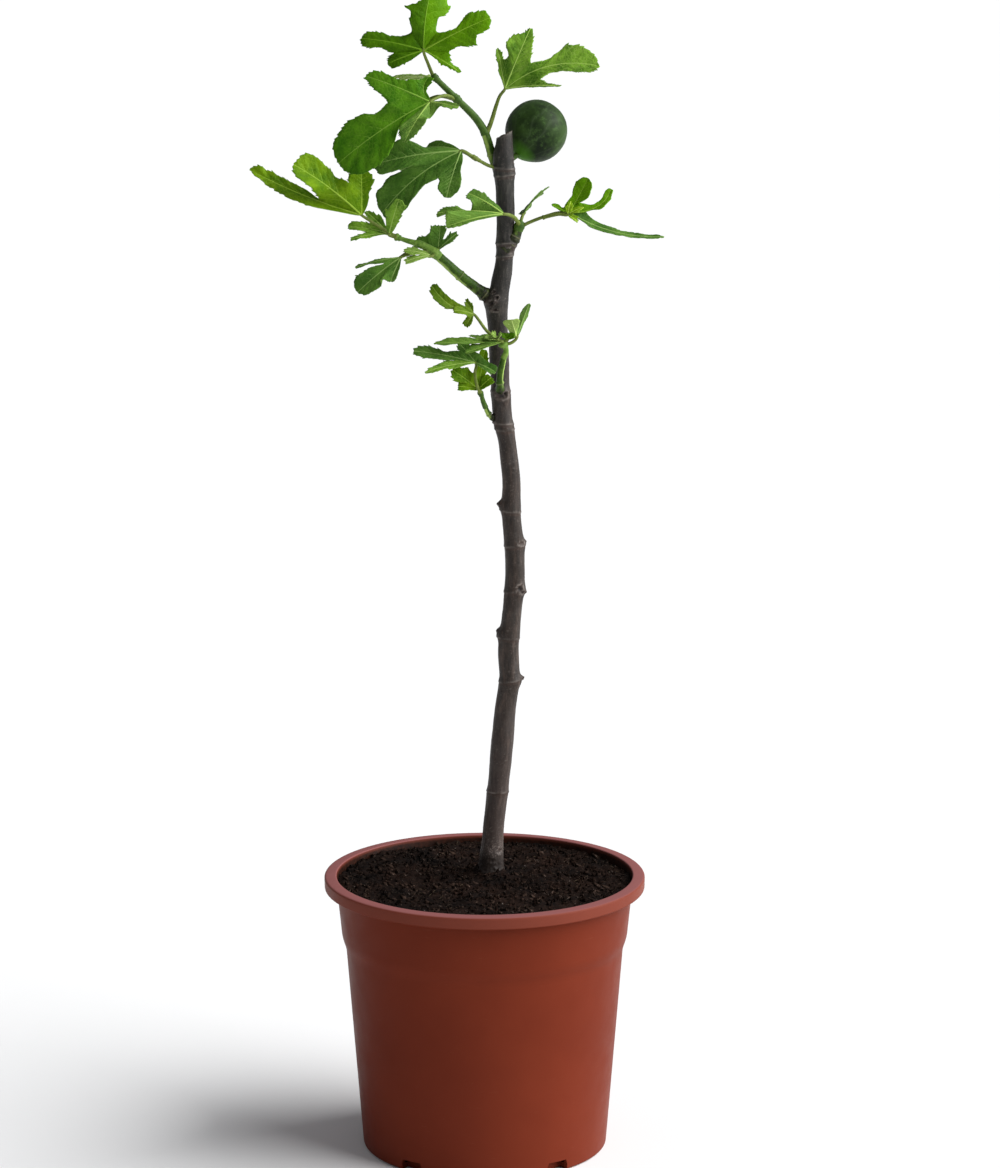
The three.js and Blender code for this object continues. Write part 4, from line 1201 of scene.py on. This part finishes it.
def leaf_spray(name, seed, controls, ends, rind, leaves):
    """The leaves and stalks at the end of one shoot, as two joined pieces.

    Controls are points along the shoot's end, and ends are its radius at the first and the last.
    Each green takes three finishes in a row: its upper skin, its under skin and its veins.
    """
    tints = []
    for form in leaves:
        for tint in (form["tint"], form.get("left_tint", form["tint"])):
            if tint not in tints:
                tints.append(tint)
    blades = Build()
    stalks = Build()
    steps = LINE_STEPS * (len(controls) - 1)
    line = smooth_line(controls, steps)
    radii = [ends[0] + (ends[1] - ends[0]) * k / steps for k in range(steps + 1)]
    # The shoot swells to a joint where each leaf stalk leaves it.
    for form in leaves:
        joint = min(line, key=lambda place: (place - Vector(form["stalk"][0])).length)
        for k, place in enumerate(line):
            away = (place - joint).length
            radii[k] += 0.5 * bell(away / 1.6) + 0.25 * bell((away - 2.4) / 0.5)
    stalks.add(*tube(line, radii, LINE_SIDES), rind)
    for number, form in enumerate(leaves):
        points, halves, veins = blade(form, seed + number * SEED_STEP)
        turn = form.get("left_from", len(halves))
        half_tints = [form["tint" if k < turn else "left_tint"] for k in range(len(halves))]
        half_finishes = [3 * tints.index(tint) for tint in half_tints]
        faces = [face for half in halves for face in half]
        choices = [finish for half, finish in zip(halves, half_finishes) for _ in half]
        blades.add(*thickened(points, faces, choices))
        small = min(1.0, max(each.length for each in form["lobes"]) / SMALL_LEAF)
        for path, (thick, thin), sides, half in veins:
            thick_end = max(thick * (0.5 + 0.5 * small), thin)
            count = len(path)
            radii = [thick_end + (thin - thick_end) * (k / (count - 1)) ** 0.7 for k in range(count)]
            blades.add(*tube(path, radii, sides, 0), half_finishes[half] + 2)
        middle = form["lobes"][len(form["lobes"]) // 2].along
        stalk = [*form["stalk"], form["foot"] - middle * 0.5, form["foot"] + middle * STALK_SINK]
        steps = STALK_STEPS * (len(stalk) - 1)
        thick = form.get("stalk_radius", STALK_RADIUS)
        radii = []
        for k in range(steps + 1):
            share = k / steps
            radius = thick + (STALK_TIP_RADIUS - thick) * share
            radii.append(radius + 0.45 * bell(share / 0.06) - 0.45 * max(0.0, share - 0.9) / 0.1)
        stalks.add(*tube(smooth_line(stalk, steps), radii, STALK_SIDES), STALK_RIND)
    skins = [finish for tint in tints for finish in leaf_finishes[tint]]
    for kind, build, finishes in (("_leaves", blades, skins), ("_stalks", stalks, rinds)):
        piece = make_piece(name + kind, build.points, build.faces, finishes, build.choices)
        settle(piece, "foliage_" + name)


top_line = [
    (1, 13.2, 728), (-1, 12.8, 732), (-5.9, 12, 739.2), (-19, 9, 752.6), (-29.6, 8, 763), (-35.3, 7, 768.8),
]
leaf_spray("top", 100, top_line, (2.9, 1.9), YOUNG_RIND, [
    # Painted light and shade: the right lobes take the bright green, and from the left half of the middle
    # lobe on, the left lobes take the shaded green, a lit and a shaded copy of one green.
    leaf((-41.6, 4, 786.3), (0.2, -0.85, 0.45), [(-35, 7.2, 768), (-38.6, 5.6, 777)], "bright", [
        (25, -4, -15, 1.7, 2.7, "thin"), (46, -5, 22.6, 12.5, 9, "horned flared"),
        (7, 8, 46, 15.5, 14.6, "stepped barbed", 2.5), (-43, 10, 7.4, 6.8, 6, "square"),
        (-25, 2, -9.5, 4.6, 4.6, "blunt"),
    ], left_tint="shaded", left_from=5, fold=-0.16, clefts=(18, 15.6, 15.4, 21)),
    leaf((-37.2, -10, 752), (-0.3, -0.8, 0.5), [
        (-19.6, 8.4, 752.4), (-26, 3, 755.4), (-32, -5, 754.6),
    ], "fresh", [
        (-1, 5, 16.5, 5, 6, "flared blunt", 4), (-44, 8, 17, 6, 11, "blunt taper"),
        (-63, -4, -42, 20, 23), (-17, -16, -26, 7, 7.6, "blunt taper"), (20, -6, -3, 2.6, 2, "taper"),
    ], left_tint="soft", left_from=6, fold=0.12, clefts=(18, 28.5, 28, (0.7, -4, -10.4))),
    leaf((-36, 13, 767.2), (0, 0, 1), [(-34, 7.4, 767)], "pale", [
        (-12, 30, -5.5, 6, 6), (-22, 24, -4.6, 6, 6), (-27, 4, -1.4, 4, 5),
    ]),
    leaf((14.4, 4, 759.8), (0.1, -0.8, 0.55), [
        (1.5, 13, 728.5), (3.8, 12.6, 733.5), (5.6, 12, 738.5), (8.4, 9.6, 748), (11, 6.6, 755),
    ], "dull", [
        (38, -12, 2.8, 1.2, 3, "taper"), (65, -6, 16, 7, 13.5, "blunt flared", 7),
        (17.6, 4, 41.4, 8.8, 10.5, "taper hunched"), (-5.2, 14, 27, 2.4, 2.4, "thin"),
    ], stalk_radius=1.8, clefts=(27, 25, 22)),
    fanned_leaf((-74, 32, 730), (-0.15, 0.95, -0.25), (-0.1, 0.25, 1), 36, [
        (-19.6, 9.4, 752.4), (-32, 14, 754), (-46, 22, 747), (-60, 28, 738),
    ], "shaded"),
])
upper_left_line = [(10, 6, 705), (3, 4.6, 707), (-3, 3, 710.4), (-8, 1.6, 713.6)]
leaf_spray("upper_left", 200, upper_left_line, (1.3, 1.1), STALK_RIND, [
    leaf((-16, 0, 717.4), (-0.1, -0.8, 0.6), [(-7.6, 1.8, 713.2)], "deep", [
        (-24, 20, 1, 5, 6, "oval"), (-60, 6, -10, 12.5, 11, "oval square"),
        (-54.6, -2, -43, 13.4, 14, "square", -3), (-10, -16, -30.6, 7.6, 7.6),
    ], teeth=0.35, clefts=(26, 33.5, 26)),
    fanned_leaf((-38, 38, 702), (-0.1, 0.9, -0.25), (0.1, 0.2, 1), 31, [
        (-5.6, 3, 711.6), (-18, 20, 715.4),
    ], "deep"),
])
left_line = [(-31, 2, 643.4), (-34.4, 1.2, 646.4), (-43.5, 0.4, 652), (-54.3, 0, 655.4), (-62, 1, 658)]
leaf_spray("left", 300, left_line, (3.2, 1.3), LIGHT_RIND, [
    leaf((-85, -4, 673.4), (0.1, -0.75, 0.6), [(-61, 0.8, 657.6), (-74, -2, 666)], "mottled", [
        (0, 4, 30, 7.4, 9, "square"), (-46, -12, 36, 12.5, 9.5, "square blunt"),
        (-78, 14, 30, 6.2, 7.4, "square taper", 6),
    ], clefts=(24, (-29.2, -3, 11.6))),
    leaf((-66.5, 2, 659.6), (-0.2, -0.6, 0.75), [(-61, 1, 657.8)], "dull", [
        (-16, 6, 15, 4, 4.6, "taper"), (-28, -2, 5, 4.5, 4, "blunt"), (-26, -10, -3, 2.2, 2, "thin"),
    ]),
    leaf((-32, 7, 648), (-0.1, -0.8, 0.5), [(-34, 1.4, 646)], "deep", [
        (13, 3, 11, 2.6, 2.6, "oval"), (1.5, 8, 16, 4, 6, "square blunt"), (-15, 4, 7, 6, 4, "taper"),
    ], clefts=(8, 13)),
    leaf((-36.5, -5, 645), (0, -0.5, 0.85), [(-34.6, 0.6, 646)], "pale", [
        (-19, -3, 4, 4, 4), (-18, -9, -3, 3.4, 3.4),
    ]),
    leaf((-57.7, -7, 644.4), (-0.1, -0.8, 0.55), [(-37, 0.6, 647.6), (-46, -4, 647.4)], "deep", [
        (-32, 4, -7.6, 1.2, 1.2, "thin"), (-30, -5, -24, 8.4, 9.6, "square oval"),
        (-7, -8, -16, 4.4, 3, "blunt"),
    ], teeth=0.5, clefts=(12, 22)),
    fanned_leaf((-75, 30, 626), (-0.1, 0.95, -0.15), (-0.1, 0.3, 1), 21, [
        (-46, 0.6, 652), (-61, 14, 640),
    ], "fresh"),
    leaf((-66, -3, 660), (-0.1, -0.9, 0.05), [(-61, -1.4, 657.8)], "dull", [
        (7.4, -18, 26, 5.6, 6, "square horned"),
    ]),
])
right_line = [(23.6, 8, 661.4), (24.6, 7.8, 664.6), (25, 7.6, 667.4)]
leaf_spray("right", 400, right_line, (3.3, 2), YOUNG_RIND, [
    leaf((13.7, -9, 674.6), (0, -0.7, 0.7), [
        (24.8, 6.8, 664.8), (21.6, 0.6, 670.6), (17.4, -6, 673.8),
    ], "soft", [
        (-24.5, 4, 14, 5, 5, "square"), (-46, -3, 1, 3.6, 6, "blunt"), (-40, -12, -7.6, 5, 3.4, "blunt"),
    ], stalk_radius=1.7, teeth=0.9, clefts=((-23.6, 0, 1.6), 41)),
    leaf((27.4, 11, 672.4), (-0.7, 0.08, 0.68), [(25, 8, 666)], "deep", [
        (18, 2, 19, 4, 1.6, "oval"), (13.5, 22, 12, 7, 7), (4, 30, 1, 6, 6),
    ], fold=0.1, teeth=0.3),
    leaf((58.9, 0, 674.8), (0, -0.45, 0.9), [
        (24.8, 7.4, 663.8), (31, 6.4, 667), (41, 4, 671.2), (52, 1.4, 674.6),
    ], "deep", [
        (66, -8, -16, 5.6, 5, "tail", -6.5), (29.6, 12, 15, 4, 3.4, "blunt", -8),
        (13.4, 6, 23.2, 8.2, 6.2, "oval"), (-12, 6, 5, 2.4, 2.4, "thin"),
    ], left_tint="bright", left_from=2, arch=-0.12, teeth=0.4, clefts=(12, 10, 7)),
    leaf((58, -3, 673.6), (0, -0.6, 0.8), [(41, 3, 671), (52, -1, 673.6)], "young", [
        (7, -3, -5, 2.2, 2.2, "taper"), (11, 0, 5, 2.2, 2.2, "taper"), (2, 1, 9, 2.2, 2.2, "taper"),
    ]),
])
front_line = [(13.4, -5, 573.4), (15.2, -6, 577.6), (14.8, -7, 581.6), (12.6, -8.4, 585)]
leaf_spray("front", 500, front_line, (2.2, 1.6), LIGHT_RIND, [
    leaf((-7.5, -7, 604.6), (-0.2, -0.7, 0.65), [
        (12.8, -8.2, 584.8), (9, -9, 588), (2.4, -8.6, 592.6),
    ], "olive", [
        (-5, 4, 10, 2.4, 2.6, "taper"), (-29, 2, 20, 4.2, 4.6, "blunt", 5.4),
        (-13.4, -8, 3.6, 3.4, 3, "blunt"), (-5, -5, -8, 2.6, 2.6, "blunt"),
    ], teeth=0.9, clefts=(5, 11, 6)),
    leaf((12, -11, 586), (0, -0.3, 0.95), [(13.2, -8, 584.2)], "soft", [
        (-22, 13, 2, 4.5, 4.5, "horned"), (-47, -2, -1, 5, 5.4, "oval"), (-25, -9, -6.5, 5, 5.5, "oval"),
    ], fold=0.3, arch=0, teeth=0.5),
    leaf((22.5, -8, 588), (0, 0.9, 0.4), [(14, -7.8, 583.8), (18.6, -8, 584.6)], "pale", [
        (-3.4, -8, 14, 6.2, 5, "square"), (9, 2, 24, 2.8, 2.6, "oval"),
    ], left_tint="deep", left_from=2, teeth=0.25),
    leaf((15, -9.6, 585.8), (0, -0.6, 0.8), [(13.4, -8.4, 584.6)], "shaded", [
        (-1, 1, 6, 2.2, 2.2), (6, -1, 5.4, 2.6, 2.4),
    ]),
    leaf((9.6, -11.4, 587.2), (0, -0.5, 0.85), [(12.6, -9.4, 585.4)], "pale", [
        (2, -3, 5, 2.6, 2.6), (-4, -3, 5.4, 2.6, 2.6), (-9, -2, 2.4, 2.8, 2.8),
    ]),
])
low_line = [(0.9, 6.2, 537), (-0.8, 4, 541.6), (-2, 1, 546.4), (-3, -1, 549)]
leaf_spray("low", 600, low_line, (2, 1.3), YOUNG_RIND, [
    leaf((-4.1, -3, 551), (0, -0.8, 0.6), [(-2.6, -0.4, 548)], "mottled", [
        (9, -3, 9, 4.6, 4.4, "square"), (4.5, 8, 27, 5.5, 5.5, "horned"),
        (-18, -2, 14, 7, 6, "horned square"), (-14, -5, 3, 3.4, 3, "square"),
    ], clefts=(6, 12, 11)),
    leaf((-6, -7, 570.6), (-0.1, -0.65, 0.75), [
        (-2.8, -1, 548.6), (-5.4, -8, 556), (-6.4, -8.6, 564),
    ], "deep", [
        (14, -6, -6, 3.6, 4, "blunt"), (-12, 6, 13, 4.6, 5.4, "square taper"),
        (-43, -2, 8.5, 4.4, 6, "blunt", 1), (-35, -14, -5, 3.6, 3.6, "taper"),
    ], left_tint="dull", left_from=6, clefts=(6, 13, 15)),
])


# ---------------------------------------------------------------- fig
# One nearly ripe fig sits on a short stalk beside the cut top. Its skin is dark green with
# lighter mottling, faint ribs that run from neck to eye, a fine bloom, and a small closed eye.

FIG_RADIUS = 22.0
FIG_MIDDLE = Vector((36.5, 28.5, 728.5))
FIG_STALK = [(14, 9, 709), (19.6, 14.6, 711), (24.6, 18.2, 714.6), (30, 22, 720)]
FIG_STALK_RADIUS = 1.9
FIG_STALK_STEPS = 30
FIG_STALK_SIDES = 20
FIG_NECK = 0.16
FIG_RIBS = 11
FIG_FLAT_SIDE = Vector((0.72, -0.2, -0.66))
FIG_SIDES = 128
FIG_RINGS = 80


def fig_skin_finish():
    coat = Coat("dark_green_fig_skin", 0.5, 0.1)
    greens = ((0.38, (0.006, 0.013, 0.004)), (0.62, (0.027, 0.058, 0.011)))
    coat.colour = coat.ramp(coat.speckle(46, 3), *greens)
    coat.cover(coat.band(coat.speckle(230, 5, 0.8), 0.5, 0.68), (0.06, 0.12, 0.03), 0.5)
    coat.cover(coat.mark("rib"), (0.12, 0.17, 0.09), 0.16)
    coat.cover(coat.mark("neck"), (0.075, 0.24, 0.012))
    coat.shader.inputs["Sheen Weight"].default_value = 0.02
    coat.shader.inputs["Sheen Roughness"].default_value = 0.4
    coat.emboss(coat.speckle(700, 4), 0.0003, 0.4)
    return coat.done()


turn = Vector((0, 0, -1)).rotation_difference((Vector(FIG_STALK[2]) - FIG_MIDDLE).normalized())
points = []
marks = []
faces = []
for ring in range(FIG_RINGS + 1):
    polar = math.pi * ring / FIG_RINGS
    towards_neck = -math.cos(polar)
    pull = max(0.0, towards_neck) ** 4
    slim = 1 - FIG_NECK * pull
    eye = -1.1 * bell(polar / 0.13) + 0.5 * bell((polar - 0.2) / 0.09)
    for side in range(FIG_SIDES):
        angle = 2 * math.pi * side / FIG_SIDES
        wander = noise.noise(Vector((math.cos(angle) * 2, math.sin(angle) * 2, polar * 1.5)))
        rib = max(0.0, math.cos(angle * FIG_RIBS + wander * 3)) ** 14 * math.sin(polar) ** 0.5
        lump = noise.noise(Vector((math.cos(angle), math.sin(angle), polar)))
        size = FIG_RADIUS * (1 + 0.003 * rib + 0.016 * lump)
        x = size * math.sin(polar) * math.cos(angle) * slim
        y = size * math.sin(polar) * math.sin(angle) * slim
        place = turn @ Vector((x, y, size * math.cos(polar) * (1 + 0.08 * pull) + eye))
        hanging = max(0.0, place.normalized().dot(FIG_FLAT_SIDE)) ** 3
        points.append(FIG_MIDDLE + place * (1 - 0.05 * hanging))
        marks.append((rib, clamped((towards_neck - 0.8) / 0.2) * 0.8))
        if ring:
            this, after = (ring * FIG_SIDES + s % FIG_SIDES for s in (side, side + 1))
            faces.append((this - FIG_SIDES, this, after, after - FIG_SIDES))
rib, neck = zip(*marks)
fig = make_piece("fig", points, faces, [fig_skin_finish()], rib=rib, neck=neck)
weld = fig.modifiers.new("close_poles", "WELD")
weld.merge_threshold = 1e-6
bake(fig)
settle(fig, "fig_fruit")

radii = []
for step in range(FIG_STALK_STEPS + 1):
    radii.append(FIG_STALK_RADIUS + 0.6 * (step / FIG_STALK_STEPS) ** 2 + 0.5 * bell((step - 8) / 2))
points, faces = tube(smooth_line(FIG_STALK, FIG_STALK_STEPS), radii, FIG_STALK_SIDES)
settle(make_piece("fig_stalk", points, faces, [rinds[YOUNG_RIND]]), "fig_fruit")
